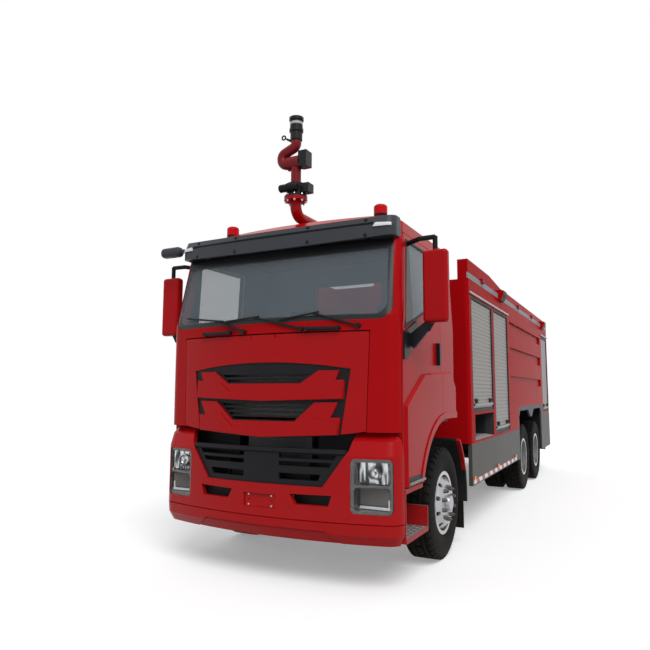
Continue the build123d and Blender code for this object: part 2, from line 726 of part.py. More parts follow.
with BuildPart() as leaf_springs:
    with BuildSketch(at_side(SPRING_X - SPRING_W / 2)):
        bottom = RAIL_TOP - RAIL_H
        side_outline((850, bottom - 30), (FRONT_AXLE, BEAM_TOP), (2170, bottom - 30), (2170, bottom),
                     (2110, bottom), (FRONT_AXLE, BEAM_TOP + 90), (910, bottom), (850, bottom))
    front_spring = extrude(amount=SPRING_W)
    mirror(front_spring, about=Plane.YZ)
    middle = sum(REAR_AXLES) / 2
    with BuildSketch(at_side(RAIL_X)):
        side_outline((REAR_AXLES[0] - 70, 620), (REAR_AXLES[0] + 70, 620), (middle, 640),
                     (REAR_AXLES[1] - 70, 620), (REAR_AXLES[1] + 70, 620), (REAR_AXLES[1] + 70, 650),
                     (middle + 110, 740), (middle + 110, 990), (middle - 110, 990),
                     (middle - 110, 740), (REAR_AXLES[0] - 70, 650))
    rear_spring = extrude(amount=SPRING_W)
    mirror(rear_spring, about=Plane.YZ)

with BuildPart() as rear_axles:
    for station in REAR_AXLES:
        rod((-560, station, HUB_Z), (560, station, HUB_Z), 78)
        rod((-1030, station, HUB_Z), (1030, station, HUB_Z), REAR_SPINDLE_R)
        rod((-120, station, HUB_Z), (120, station, HUB_Z), 215)
    rod((0, 2650 + FIT, 600), (0, REAR_AXLES[1], 600), 50)

with BuildPart() as powertrain:
    box(-330, 330, 720, 1880, 650, 1340)
    box(-230, 230, 1880, 2650, 500, 980)
    box(-345, 345, 330, 420, 700, 1340)
    box(-250, 250, 420, 720, 800, 1250)
    pair(330, RAIL_X - RAIL_T - FIT, 1000, 1080, 850, 930)
    pair(330, RAIL_X - RAIL_T - FIT, 1660, 1740, 850, 930)

# Steps, liners and mudguards round the front wheels.
with BuildPart() as cab_steps:
    pair(985, 1245, 306, 880, 400, 440)
    pair(985, 1003, 306, 880, 400, 838)
    pair(985, 1238, 306, 324, 400, 838)
    pair(985, 1238, 306, 760, 798, 838)
    pair(985, 1245, 862, 880, 400, 620)
    pair(RAIL_X, 990, 440, 500, 770, 830)

with BuildPart() as mudguards:
    with BuildSketch(at_side(560)):
        with BuildLine():
            start = asin(330 / 790)
            outer_start = asin(330 / 806)
            CenterArc((y_at(FRONT_AXLE), HUB_Z), 790, 90, 90 - start * 180 / pi)
            CenterArc((y_at(FRONT_AXLE), HUB_Z), 806, 90, 90 - outer_start * 180 / pi)
            Line((y_at(FRONT_AXLE) - 790 * cos(start), HUB_Z + 330),
                 (y_at(FRONT_AXLE) - 806 * cos(outer_start), HUB_Z + 330))
            Polyline((y_at(FRONT_AXLE), HUB_Z + 806), (y_at(1870), HUB_Z + 806), (y_at(1870), HUB_Z + 790),
                     (y_at(FRONT_AXLE), HUB_Z + 790))
        make_face()
    liner = extrude(amount=598)
    hanger_x = (700, 1000)
    mirror(liner, about=Plane.YZ)
    for x in hanger_x:
        pair(x - 30, x + 30, 1500, 1560, HUB_Z + 800, FLOOR_Z - FIT)
        pair(x - 30, x + 30, 1790, 1850, HUB_Z + 800, FLOOR_Z - FIT)
    with BuildSketch(at_side(890)):
        with BuildLine():
            CenterArc((y_at(FRONT_AXLE), HUB_Z), 770, -8, 56)
            CenterArc((y_at(FRONT_AXLE), HUB_Z), 800, -8, 56)
            for turn in (-8, 48):
                c = cos(turn * pi / 180)
                s = sin(turn * pi / 180)
                Line((y_at(FRONT_AXLE) + 770 * c, HUB_Z + 770 * s),
                     (y_at(FRONT_AXLE) + 800 * c, HUB_Z + 800 * s))
        make_face()
    guard = extrude(amount=352)
    mirror(guard, about=Plane.YZ)
    pair(RAIL_X, 900, 2225, 2275, 820, 880)
    pair(560, HALF_WIDTH - 30 - FIT, 5745, 8330, TANK_BOTTOM - 12, TANK_BOTTOM - FIT)
    pair(560, HALF_WIDTH - 30 - FIT, 5745, 5753, SKIRT_BOTTOM, TANK_BOTTOM - FIT)
    pair(560, HALF_WIDTH - 30 - FIT, 8322, 8330, SKIRT_BOTTOM, TANK_BOTTOM - FIT)

# Superstructure.
with BuildPart() as locker_front:
    box(-HALF_WIDTH, HALF_WIDTH, BODY_FRONT, TANK_FRONT, RAIL_TOP, BODY_TOP)
    fillet(locker_front.edges().filter_by(Axis.Z).group_by(Axis.Y)[0], 45)
    for station0, station1, sill, head in SIDE_BAYS[:2]:
        pair(HALF_WIDTH - BAY_DEPTH, 1300, station0, station1, sill, head, mode=Mode.SUBTRACT)
    with BuildSketch(at_side(HALF_WIDTH)):
        side_outline((NICHE[0], NICHE[2]), (NICHE[1], NICHE[2]), (NICHE[1], NICHE[3]), (NICHE[0], NICHE[3]))
    with BuildSketch(at_side(HALF_WIDTH - 110)):
        side_outline((NICHE[0] + 75, NICHE[2] + 20), (NICHE[1] - 75, NICHE[2] + 20),
                     (NICHE[1] - 75, NICHE[3] - 20), (NICHE[0] + 75, NICHE[3] - 20))
    reveal = loft(ruled=True, mode=Mode.SUBTRACT)
    mirror(reveal, about=Plane.YZ, mode=Mode.SUBTRACT)
    pair(HALF_WIDTH - 500, HALF_WIDTH - 100, NICHE[0] + 75, NICHE[1] - 75, NICHE[2] + 20, NICHE[3] - 20,
         mode=Mode.SUBTRACT)

with BuildPart() as tank_section:
    box(-HALF_WIDTH, HALF_WIDTH, TANK_FRONT, TANK_REAR, TANK_BOTTOM, BODY_TOP)
    box(-HALF_WIDTH, HALF_WIDTH, TANK_FRONT, 5740, RAIL_TOP, TANK_BOTTOM)
    pair(350, RAIL_X, 5700, TANK_REAR, RAIL_TOP, TANK_BOTTOM)
    for bottom, top in GROOVES:
        pair(HALF_WIDTH - 30, 1300, 5110, 8450, bottom, top, mode=Mode.SUBTRACT)

with BuildPart() as locker_rear:
    box(-HALF_WIDTH, HALF_WIDTH, TANK_REAR, BODY_REAR, REAR_FLOOR, BODY_TOP)
    fillet(locker_rear.edges().filter_by(Axis.Z).group_by(Axis.Y)[-1], 30)
    station0, station1, sill, head = SIDE_BAYS[2]
    pair(HALF_WIDTH - BAY_DEPTH, 1300, station0, station1, sill + 30, head, mode=Mode.SUBTRACT)
    box(-REAR_BAY_HALF, REAR_BAY_HALF, 9000, 9700, REAR_FLOOR + 30, REAR_BAY_HEAD, mode=Mode.SUBTRACT)
    pair(350, RAIL_X, TANK_REAR, RAIL_REAR, RAIL_TOP, REAR_FLOOR)

with BuildPart() as roof_parapets:
    with BuildSketch(at_side(HALF_WIDTH - PARAPET_W)):
        side_outline((BODY_FRONT + 6, BODY_TOP), (BODY_FRONT + 6, 3232), (3720, 3232), (4480, 3170),
                     (BODY_REAR - 6, 3170), (BODY_REAR - 6, BODY_TOP))
    parapet = extrude(amount=PARAPET_W)
    mirror(parapet, about=Plane.YZ)

with BuildPart() as tank_hatches:
    for station in (6100, 7500):
        rod((0, station, BODY_TOP), (0, station, BODY_TOP + 70), 250)
        rod((0, station, BODY_TOP + 70), (0, station, BODY_TOP + 95), 280)


def slatted(low, high, width):
    """Draw the section of a slatted curtain, outer face at zero depth, in the open sketch."""
    count = round((high - low) / SLAT)
    pitch = (high - low) / count
    face = []
    for row in range(count):
        z = low + row * pitch
        face += [(width - 5, z), (width, z + 5), (width, z + pitch - 9), (width - 5, z + pitch - 5)]
    face.append((width - 5, high))
    outline((width - 16, low), *face, (width - 16, high))


CURTAIN_X = HALF_WIDTH - 14

with BuildPart() as roller_shutters:
    for station0, station1, sill, head in SIDE_BAYS:
        low = sill + 42 if sill != REAR_FLOOR else sill + 72
        with BuildSketch(facing_front(station1 - GUIDE_W - FIT)):
            slatted(low, head - 32 - FIT, CURTAIN_X)
        curtain = extrude(amount=station1 - station0 - 2 * GUIDE_W - 2 * FIT)
        mirror(curtain, about=Plane.YZ)
    with BuildSketch(at_side(-REAR_BAY_HALF + GUIDE_W + FIT)):
        slatted(REAR_FLOOR + 72, REAR_BAY_HEAD - 32 - FIT, y_at(BODY_REAR - 14))
    extrude(amount=2 * (REAR_BAY_HALF - GUIDE_W - FIT))

with BuildPart() as shutter_guides:
    for station0, station1, sill, head in SIDE_BAYS:
        floor = sill if sill != REAR_FLOOR else sill + 30
        x0 = HALF_WIDTH - 45
        pair(x0, HALF_WIDTH - 2, station0, station0 + GUIDE_W, floor, head)
        pair(x0, HALF_WIDTH - 2, station1 - GUIDE_W, station1, floor, head)
        pair(x0, HALF_WIDTH - 2, station0, station1, head - 32, head)
        pair(x0, HALF_WIDTH - 6, station0, station1, floor, floor + 41)
    rear0 = BODY_REAR - 45
    box(-REAR_BAY_HALF, -REAR_BAY_HALF + GUIDE_W, rear0, BODY_REAR - 2, REAR_FLOOR + 30, REAR_BAY_HEAD)
    box(REAR_BAY_HALF - GUIDE_W, REAR_BAY_HALF, rear0, BODY_REAR - 2, REAR_FLOOR + 30, REAR_BAY_HEAD)
    box(-REAR_BAY_HALF, REAR_BAY_HALF, rear0, BODY_REAR - 2, REAR_BAY_HEAD - 32, REAR_BAY_HEAD)
    box(-REAR_BAY_HALF, REAR_BAY_HALF, rear0, BODY_REAR - 6, REAR_FLOOR + 30, REAR_FLOOR + 71)
    for station0, station1, sill, head in SIDE_BAYS:
        z = sill + 75 if sill != REAR_FLOOR else sill + 105
        pair(CURTAIN_X + FIT, HALF_WIDTH + 8, station0 + 90, station1 - 90, z, z + 22)
    box(-REAR_BAY_HALF + 90, REAR_BAY_HALF - 90, BODY_REAR - 14 + FIT, BODY_REAR + 8, REAR_FLOOR + 105,
        REAR_FLOOR + 127)

with BuildPart() as side_skirts:
    pair(HALF_WIDTH - SKIRT_T, HALF_WIDTH, BODY_FRONT + 20, 5330, SKIRT_BOTTOM, RAIL_TOP - FIT)
    pair(HALF_WIDTH - SKIRT_T, HALF_WIDTH, 8400 + FIT, BODY_REAR - 45, 500, REAR_FLOOR - FIT)
    for station in (2700, 4200, 5200):
        pair(RAIL_X, HALF_WIDTH - SKIRT_T, station, station + 50, 960, RAIL_TOP - FIT)

with BuildPart() as rear_arches:
    with BuildSketch(at_side(HALF_WIDTH - 30)):
        side_outline((5330 + FIT, SKIRT_BOTTOM), (5330 + FIT, RAIL_TOP - FIT), (5740 + FIT, RAIL_TOP - FIT),
                     (5740 + FIT, TANK_BOTTOM - FIT), (TANK_REAR, TANK_BOTTOM - FIT),
                     (TANK_REAR, REAR_FLOOR - FIT), (8400, REAR_FLOOR - FIT), (8400, 520), (8320, 520),
                     (8300, 1235), (8190, 1330), (7350, 1330), (7130, 1200), (6920, 1200), (6700, 1330),
                     (5870, 1330), (5760, 1235), (5750, SKIRT_BOTTOM))
    frame = extrude(amount=30)
    mirror(frame, about=Plane.YZ)

with BuildPart() as side_lamps:
    for station in (3250, 5930, 7420):
        pair(HALF_WIDTH + FIT, HALF_WIDTH + 34, station - 55, station + 55, 3045, 3100)
    for station in (4410, 8780):
        with BuildSketch(facing_front(station + 120)):
            outline((HALF_WIDTH + FIT, 2965), (HALF_WIDTH + 40, 2965), (HALF_WIDTH + 85, 3060),
                    (HALF_WIDTH + 85, 3110), (HALF_WIDTH + FIT, 3125))
        wedge = extrude(amount=240)
        mirror(wedge, about=Plane.YZ)

with BuildPart() as marker_lamps:
    for station in (2600, 3950, 5290):
        pair(HALF_WIDTH + FIT, HALF_WIDTH + 18, station - 40, station + 40, 635, 668)
    add(visor_lamps.part)
    pair(860, 1190, BODY_REAR + FIT, BODY_REAR + 34, 640, 760)

with BuildPart() as rear_panel:
    box(-HALF_WIDTH, HALF_WIDTH, BODY_REAR - 45 + FIT, BODY_REAR, 500, REAR_FLOOR - FIT)
    pair(350, RAIL_X, RAIL_REAR + FIT, BODY_REAR - 40, 820, 980)
    box(-1150, 1150, BODY_REAR - 130, BODY_REAR - 20, 400, 510)
    box(-70, 70, BODY_REAR - 10, LENGTH, 640, 760)
    rod((0, BODY_REAR + 55, 640), (0, BODY_REAR + 55, 760), 20, mode=Mode.SUBTRACT)

with BuildPart() as rear_ladder:
    for x in (LADDER_X, LADDER_X + LADDER_W):
        rod((x, BODY_REAR + 70, 780), (x, BODY_REAR + 70, 3300), 17)
        for z in (900, 1900, 2900):
            rod((x, BODY_REAR + FIT, z), (x, BODY_REAR + 70, z), 14)
        rod((x, BODY_REAR + 70, 3280), (x, BODY_REAR - 300, 3280), 15)
        rod((x, BODY_REAR - 300, 3310), (x, BODY_REAR - 300, BODY_TOP), 17)
    for row in range(9):
        z = 860 + 300 * row
        rod((LADDER_X, BODY_REAR + 70, z), (LADDER_X + LADDER_W, BODY_REAR + 70, z), 14)

# Monitor and its feed pipe over the cab roof.
with BuildPart() as roof_pipe:
    with BuildLine() as run:
        FilletPolyline(
            (0, y_at(2760), BODY_TOP), (0, y_at(2760), PIPE_Z), (0, y_at(MONITOR_STATION), PIPE_Z),
            (0, y_at(MONITOR_STATION), FLANGE_Z), radius=110,
        )
    with BuildSketch(Plane(origin=(0, y_at(2760), BODY_TOP), z_dir=(0, 0, 1))):
        Circle(PIPE_R)
    sweep(path=run.wires()[0])
    rod((0, MONITOR_STATION, FLANGE_Z - 4), (0, MONITOR_STATION, FLANGE_Z + FLANGE_T), FLANGE_DISC_R)
    rod((0, 2760, BODY_TOP), (0, 2760, BODY_TOP + 20), FLANGE_DISC_R)
    for station in (820, 1640):
        box(-90, 90, station, station + 60, 3300, PIPE_Z - 20)

SWIVEL_Z = FLANGE_Z + FLANGE_T + FIT

with BuildPart() as monitor_swivel:
    rod((0, MONITOR_STATION, SWIVEL_Z), (0, MONITOR_STATION, SWIVEL_Z + FLANGE_T), FLANGE_DISC_R)
    rod((0, MONITOR_STATION, SWIVEL_Z), (0, MONITOR_STATION, SWIVEL_Z + 150), SWIVEL_R)
    box(60, 175, MONITOR_STATION - 55, MONITOR_STATION + 55, SWIVEL_Z + 45, SWIVEL_Z + 135)
    rod((0, MONITOR_STATION, SWIVEL_Z + 140), (0, MONITOR_STATION, PITCH_Z), NECK_R)
    rod((60, MONITOR_STATION, PITCH_Z), (JOINT_X, MONITOR_STATION, PITCH_Z), NECK_R + 20)
    box(55, 150, MONITOR_STATION - 60, MONITOR_STATION + 60, PITCH_Z - 60, PITCH_Z + 100)

with BuildPart() as monitor_barrel:
    rod((JOINT_X - FIT, MONITOR_STATION, PITCH_Z), (JOINT_X - 30, MONITOR_STATION, PITCH_Z), NECK_R + 20)
    with BuildLine() as neck:
        FilletPolyline(
            (JOINT_X - 20, y_at(MONITOR_STATION), PITCH_Z), (-165, y_at(MONITOR_STATION), PITCH_Z),
            (-165, y_at(MONITOR_STATION), PITCH_Z + 110), (0, y_at(MONITOR_STATION), PITCH_Z + 175),
            (0, y_at(MONITOR_STATION), PITCH_Z + 260), radius=58,
        )
    with BuildSketch(Plane(origin=(JOINT_X - 20, y_at(MONITOR_STATION), PITCH_Z), z_dir=(-1, 0, 0))):
        Circle(NECK_R)
    sweep(path=neck.wires()[0], transition=Transition.ROUND)
    rod((0, MONITOR_STATION, PITCH_Z + 240), (0, MONITOR_STATION, PITCH_Z + 330), 62)
    rod((0, MONITOR_STATION, PITCH_Z + 330), (0, MONITOR_STATION, PITCH_Z + 360), 72)
    rod((0, MONITOR_STATION, PITCH_Z + 360), (0, MONITOR_STATION, NOZZLE_TOP - 30), 66)
    rod((0, MONITOR_STATION, NOZZLE_TOP - 30), (0, MONITOR_STATION, NOZZLE_TOP), 75)


def tyre(*centres, station):
    """Return tyres round the given centre planes of one axle end."""
    with BuildPart() as rubber:
        for centre in centres:
            with BuildSketch(Plane(origin=(0, y_at(station), HUB_Z), x_dir=(1, 0, 0), z_dir=(0, -1, 0))):
                half = [(BEAD_W / 2 - FIT, BEAD_R + FIT), (BEAD_W / 2 - FIT, FLANGE_R + 3),
                        (TYRE_W / 2, BULGE_R), (TYRE_W / 2 - 12, SHOULDER_R), (TREAD_W / 2, TYRE_R)]
                outline(*[(centre + x, r) for x, r in half], *[(centre - x, r) for x, r in reversed(half)])
            revolve(axis=Axis((0, y_at(station), HUB_Z), (1, 0, 0)))
    return rubber.part


def barrel_section(centre):
    """Draw a rim's barrel with its two flanges in the open sketch."""
    edge = BEAD_W / 2
    lip = edge + 14
    outline((centre - lip, BARREL_R), (centre + lip, BARREL_R), (centre + lip, FLANGE_R),
            (centre + edge, FLANGE_R), (centre + edge, BEAD_R), (centre - edge, BEAD_R),
            (centre - edge, FLANGE_R), (centre - lip, FLANGE_R))


def wheel_plane(station):
    """Return the plane in which a wheel's section is drawn as X and radius."""
    return Plane(origin=(0, y_at(station), HUB_Z), x_dir=(1, 0, 0), z_dir=(0, -1, 0))


def wheel_axis(station):
    """Return the turning axis of the wheels at a station."""
    return Axis((0, y_at(station), HUB_Z), (1, 0, 0))


with BuildPart() as rim_front_left:
    disc = WHEEL_X + FRONT_DISC
    with BuildSketch(wheel_plane(FRONT_AXLE)):
        barrel_section(WHEEL_X)
        outline((disc - DISC_T, HUB_R - 10), (disc, HUB_R - 10), (disc, 160), (disc - 30, BARREL_R + 8),
                (disc - 30 - DISC_T, BARREL_R + 8), (disc - DISC_T, 160))
        outline((WHEEL_X + 20, SPINDLE_R + FIT), (WHEEL_X + 122, SPINDLE_R + FIT), (WHEEL_X + 122, 84),
                (disc, HUB_R), (WHEEL_X + 20, HUB_R))
    revolve(axis=wheel_axis(FRONT_AXLE))
    rod((WHEEL_X + 118, FRONT_AXLE, HUB_Z), (WHEEL_X + 150, FRONT_AXLE, HUB_Z), 64)
    with BuildSketch(Plane(origin=(disc - 80, y_at(FRONT_AXLE), HUB_Z), x_dir=(0, 1, 0), z_dir=(1, 0, 0))):
        with PolarLocations(HAND_HOLE_PCR, HAND_HOLES):
            Circle(HAND_HOLE_R)
    extrude(amount=160, mode=Mode.SUBTRACT)


def twin_rim(station):
    """Return the two rims and the hub of one twin wheel on the left side."""
    inner = WHEEL_X - TWIN_PITCH
    middle = (WHEEL_X + inner) / 2
    half = TWIN_PITCH / 2 - BEAD_W / 2
    with BuildPart() as rims:
        with BuildSketch(wheel_plane(station)):
            barrel_section(WHEEL_X)
            barrel_section(inner)
            outline((middle - half - 10, BARREL_R + 8), (middle - DISC_T, 190),
                    (middle - DISC_T, REAR_HUB_R - 10), (middle + DISC_T, REAR_HUB_R - 10),
                    (middle + DISC_T, 190), (middle + half + 10, BARREL_R + 8),
                    (middle + half - 6, BARREL_R + 8), (middle + 3, 196), (middle - 3, 196),
                    (middle - half + 6, BARREL_R + 8))
            outline((inner - 60, REAR_SPINDLE_R + FIT), (WHEEL_X - 30, REAR_SPINDLE_R + FIT),
                    (WHEEL_X - 30, REAR_HUB_R), (inner - 60, REAR_HUB_R))
        revolve(axis=wheel_axis(station))
        rod((WHEEL_X - 42, station, HUB_Z), (WHEEL_X + 20, station, HUB_Z), 84)
        with BuildSketch(Plane(origin=(middle - 60, y_at(station), HUB_Z), x_dir=(0, 1, 0), z_dir=(1, 0, 0))):
            with PolarLocations(REAR_HOLE_PCR, HAND_HOLES):
                Circle(REAR_HOLE_R)
        extrude(amount=120, mode=Mode.SUBTRACT)
    return rims.part


with BuildPart() as knuckle_left:
    low = BEAM_BOTTOM - YOKE_GAP
    high = BEAM_TOP + YOKE_GAP
    rod((KING_PIN_X, FRONT_AXLE, low - YOKE_ARM), (KING_PIN_X, FRONT_AXLE, high + YOKE_ARM), KING_PIN_R)
    web_x = KING_PIN_X + BOSS_R + 8
    for z in (low - YOKE_ARM, high):
        box(KING_PIN_X - 45, web_x + 14, FRONT_AXLE - 48, FRONT_AXLE + 48, z, z + YOKE_ARM)
    box(web_x, web_x + 24, FRONT_AXLE - 48, FRONT_AXLE + 48, low - YOKE_ARM, high + YOKE_ARM)
    rod((web_x + 10, FRONT_AXLE, HUB_Z), (WHEEL_X + 115, FRONT_AXLE, HUB_Z), SPINDLE_R)

INNER_X = WHEEL_X - TWIN_PITCH
tyre_front_left = tyre(WHEEL_X, station=FRONT_AXLE)
tyres_rear1_left = tyre(WHEEL_X, INNER_X, station=REAR_AXLES[0])
tyres_rear2_left = tyre(WHEEL_X, INNER_X, station=REAR_AXLES[1])
rims_rear1_left = twin_rim(REAR_AXLES[0])
rims_rear2_left = twin_rim(REAR_AXLES[1])

PIECES = {
    "chassis_frame": chassis_frame.part,
    "front_axle": front_axle.part,
    "leaf_springs": leaf_springs.part,
    "rear_axles": rear_axles.part,
    "powertrain": powertrain.part,
    "bumper": bumper.part,
    "bumper_lip": bumper_lip.part,
    "lower_grille": lower_grille.part,
    "headlamp_housings": headlamp_housings.part,
    "headlamp_lenses": headlamp_lenses.part,
    "cab_shell": cab_shell.part,
    "cab_glass": cab_panes.part,
    "sun_visor": sun_visor.part,
    "beacons": beacons.part,
    "front_fittings": front_fittings.part,
    "cab_interior": cab_interior.part,
    "steering_wheel": steering_wheel.part,
    "seats": seats.part,
    "cab_steps": cab_steps.part,
    "mudguards": mudguards.part,
    "locker_front": locker_front.part,
    "tank_section": tank_section.part,
    "locker_rear": locker_rear.part,
    "roof_parapets": roof_parapets.part,
    "tank_hatches": tank_hatches.part,
    "roller_shutters": roller_shutters.part,
    "shutter_guides": shutter_guides.part,
    "side_skirts": side_skirts.part,
    "rear_arches": rear_arches.part,
    "side_lamps": side_lamps.part,
    "marker_lamps": marker_lamps.part,
    "rear_panel": rear_panel.part,
    "rear_ladder": rear_ladder.part,
    "roof_pipe": roof_pipe.part,
    "monitor_swivel": monitor_swivel.part,
    "monitor_barrel": monitor_barrel.part,
    "front_flap": flap_red.part,
    "upper_grille": upper_grille.part,
}
LEFT_PIECES = {
    "knuckle": knuckle_left.part,
    "tyre_front": tyre_front_left,
    "rim_front": rim_front_left.part,
    "tyres_rear1": tyres_rear1_left,
    "rims_rear1": rims_rear1_left,
    "tyres_rear2": tyres_rear2_left,
    "rims_rear2": rims_rear2_left,
    "door": door_left.part,
    "door_glass": door_glass_left.part,
    "mirror": mirror_arms.part,
}
for name, part in LEFT_PIECES.items():
    PIECES[name + "_left"] = part
    PIECES[name + "_right"] = mirrored(part)

os.makedirs("parts", exist_ok=True)
for name, part in PIECES.items():
    part.label = name
    export_step(part, "parts/" + name + ".step")
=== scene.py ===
"""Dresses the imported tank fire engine: finishes, tyres, wheel nuts, seats, trim, camera and light."""

import json
import logging
import math
from dataclasses import dataclass
from enum import Enum
from typing import Callable, Sequence

import bpy
from mathutils import Matrix, Vector


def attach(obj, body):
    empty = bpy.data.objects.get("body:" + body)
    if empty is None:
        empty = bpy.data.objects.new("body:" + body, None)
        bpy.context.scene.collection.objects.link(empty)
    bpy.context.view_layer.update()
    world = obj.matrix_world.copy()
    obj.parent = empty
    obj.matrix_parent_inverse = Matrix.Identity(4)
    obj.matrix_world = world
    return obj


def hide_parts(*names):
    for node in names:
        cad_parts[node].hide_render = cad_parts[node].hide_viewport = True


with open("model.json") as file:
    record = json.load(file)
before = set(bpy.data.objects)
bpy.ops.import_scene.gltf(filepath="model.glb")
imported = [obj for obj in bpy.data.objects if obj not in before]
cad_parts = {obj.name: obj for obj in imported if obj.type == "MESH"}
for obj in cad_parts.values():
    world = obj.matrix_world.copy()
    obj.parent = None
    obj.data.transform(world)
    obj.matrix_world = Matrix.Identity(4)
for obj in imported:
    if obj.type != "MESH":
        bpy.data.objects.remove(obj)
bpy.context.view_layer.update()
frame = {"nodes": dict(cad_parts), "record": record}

LOG = logging.getLogger("fire_engine")
LENGTH = 9.68
FRONT_AXLE = 1.51
REAR_AXLES = (6.34, 7.71)
HUB_Z = 0.542
WHEEL_X = 1.075
TWIN_PITCH = 0.345
BODY_X = 1.25  # the outer face of body and doors, from the middle
WAIST_Z = 2.29  # the cab's sides lean in above this height
FACING = 0.9  # how far a face looks along an axis to count as facing it

Colour = tuple[float, float, float]
Point = tuple[float, float, float]
Range = tuple[float, float]
Box = tuple[Range, Range, Range]
FaceTest = Callable[[Vector, Vector], bool]

ORIGIN: Point = (0.0, 0.0, 0.0)
UP: Point = (0.0, 0.0, 1.0)
AHEAD: Point = (0.0, -1.0, 0.0)


def y_at(station: float) -> float:
    """Return the Y of a station counted from the front of the bumper, in metres."""
    return station - LENGTH / 2


class Side(Enum):
    """The two sides of the truck, as the sign of X."""

    LEFT = 1
    RIGHT = -1

    @property
    def word(self) -> str:
        """Return the side's word in node and body names."""
        return self.name.lower()

    @property
    def flip(self) -> Matrix:
        """Return the matrix that takes a left-hand piece to this side."""
        return Matrix.Diagonal((self.value, 1.0, 1.0, 1.0))


def mirrored(side: Side, box: Box) -> tuple[Point, Point]:
    """Place a box on one side of the truck.

    Args:
        side: The side of the truck.
        box: Its distances from the middle, its stations and its heights.

    Returns:
        The lowest and the highest corner.
    """
    across, stations, heights = box
    low, high = sorted(side.value * x for x in across)
    return (low, y_at(stations[0]), heights[0]), (high, y_at(stations[1]), heights[1])


class Value:
    """A shader socket that takes part in sums."""

    def __init__(self, owner: "Tree", socket: bpy.types.NodeSocket) -> None:
        """Wrap one output socket of a tree."""
        self.owner = owner
        self.socket = socket

    def __add__(self, other: "Value | float") -> "Value":
        """Return self + other."""
        return self.owner.math("ADD", self, other)

    def __radd__(self, other: float) -> "Value":
        """Return other + self."""
        return self.owner.math("ADD", other, self)

    def __sub__(self, other: "Value | float") -> "Value":
        """Return self - other."""
        return self.owner.math("SUBTRACT", self, other)

    def __rsub__(self, other: float) -> "Value":
        """Return other - self."""
        return self.owner.math("SUBTRACT", other, self)

    def __mul__(self, other: "Value | float") -> "Value":
        """Return self * other."""
        return self.owner.math("MULTIPLY", self, other)

    def __rmul__(self, other: float) -> "Value":
        """Return other * self."""
        return self.owner.math("MULTIPLY", other, self)

    def __abs__(self) -> "Value":
        """Return the size of self."""
        return self.owner.math("ABSOLUTE", self, 0.0)

    def over(self, edge: "Value | float", soft: float = 0.004) -> "Value":
        """Return 1 where self is above an edge and 0 below it.

        Args:
            edge: The level of the step.
            soft: The width of the step.

        Returns:
            The mask.
        """
        return self.owner.node("ShaderNodeMath", {"operation": "MULTIPLY_ADD", "use_clamp": True},
                               {0: self - edge, 1: 1 / soft, 2: 0.5})

    def between(self, low: float, high: float, soft: float = 0.004) -> "Value":
        """Return 1 where self lies between two levels."""
        return self.over(low, soft) * (1 - self.over(high, soft))


class Tree:
    """A node tree, to which one method adds nodes."""

    def __init__(self, tree: bpy.types.NodeTree) -> None:
        """Take over a tree and empty it."""
        self.tree = tree
        self.tree.nodes.clear()

    def node(self, kind: str, settings: dict | None = None, sockets: dict | None = None,
             out: int | str = 0) -> Value:
        """Add a node.

        Args:
            kind: The node's type.
            settings: Its attributes, set first.
            sockets: Values or links of its input sockets by name or number.
            out: The output to return.

        Returns:
            The chosen output.
        """
        made = self.tree.nodes.new(kind)
        for name, setting in (settings or {}).items():
            setattr(made, name, setting)
        for key, value in (sockets or {}).items():
            if isinstance(value, Value):
                self.tree.links.new(value.socket, made.inputs[key])
            else:
                made.inputs[key].default_value = value
        return Value(self, made.outputs[out] if len(made.outputs) else None)

    def math(self, operation: str, first: "Value | float", second: "Value | float") -> Value:
        """Return one Math node's result."""
        return self.node("ShaderNodeMath", {"operation": operation}, {0: first, 1: second})

    def seen(self) -> Value:
        """Tell which rays show the background: straight, mirrored or through glass.

        Returns:
            1 for those rays and 0 for the others.
        """
        direct, glossy, through = (self.node("ShaderNodeLightPath", out=f"Is {kind} Ray")
                                   for kind in ("Camera", "Glossy", "Transmission"))
        return self.math("MAXIMUM", direct, self.math("MAXIMUM", glossy, through))


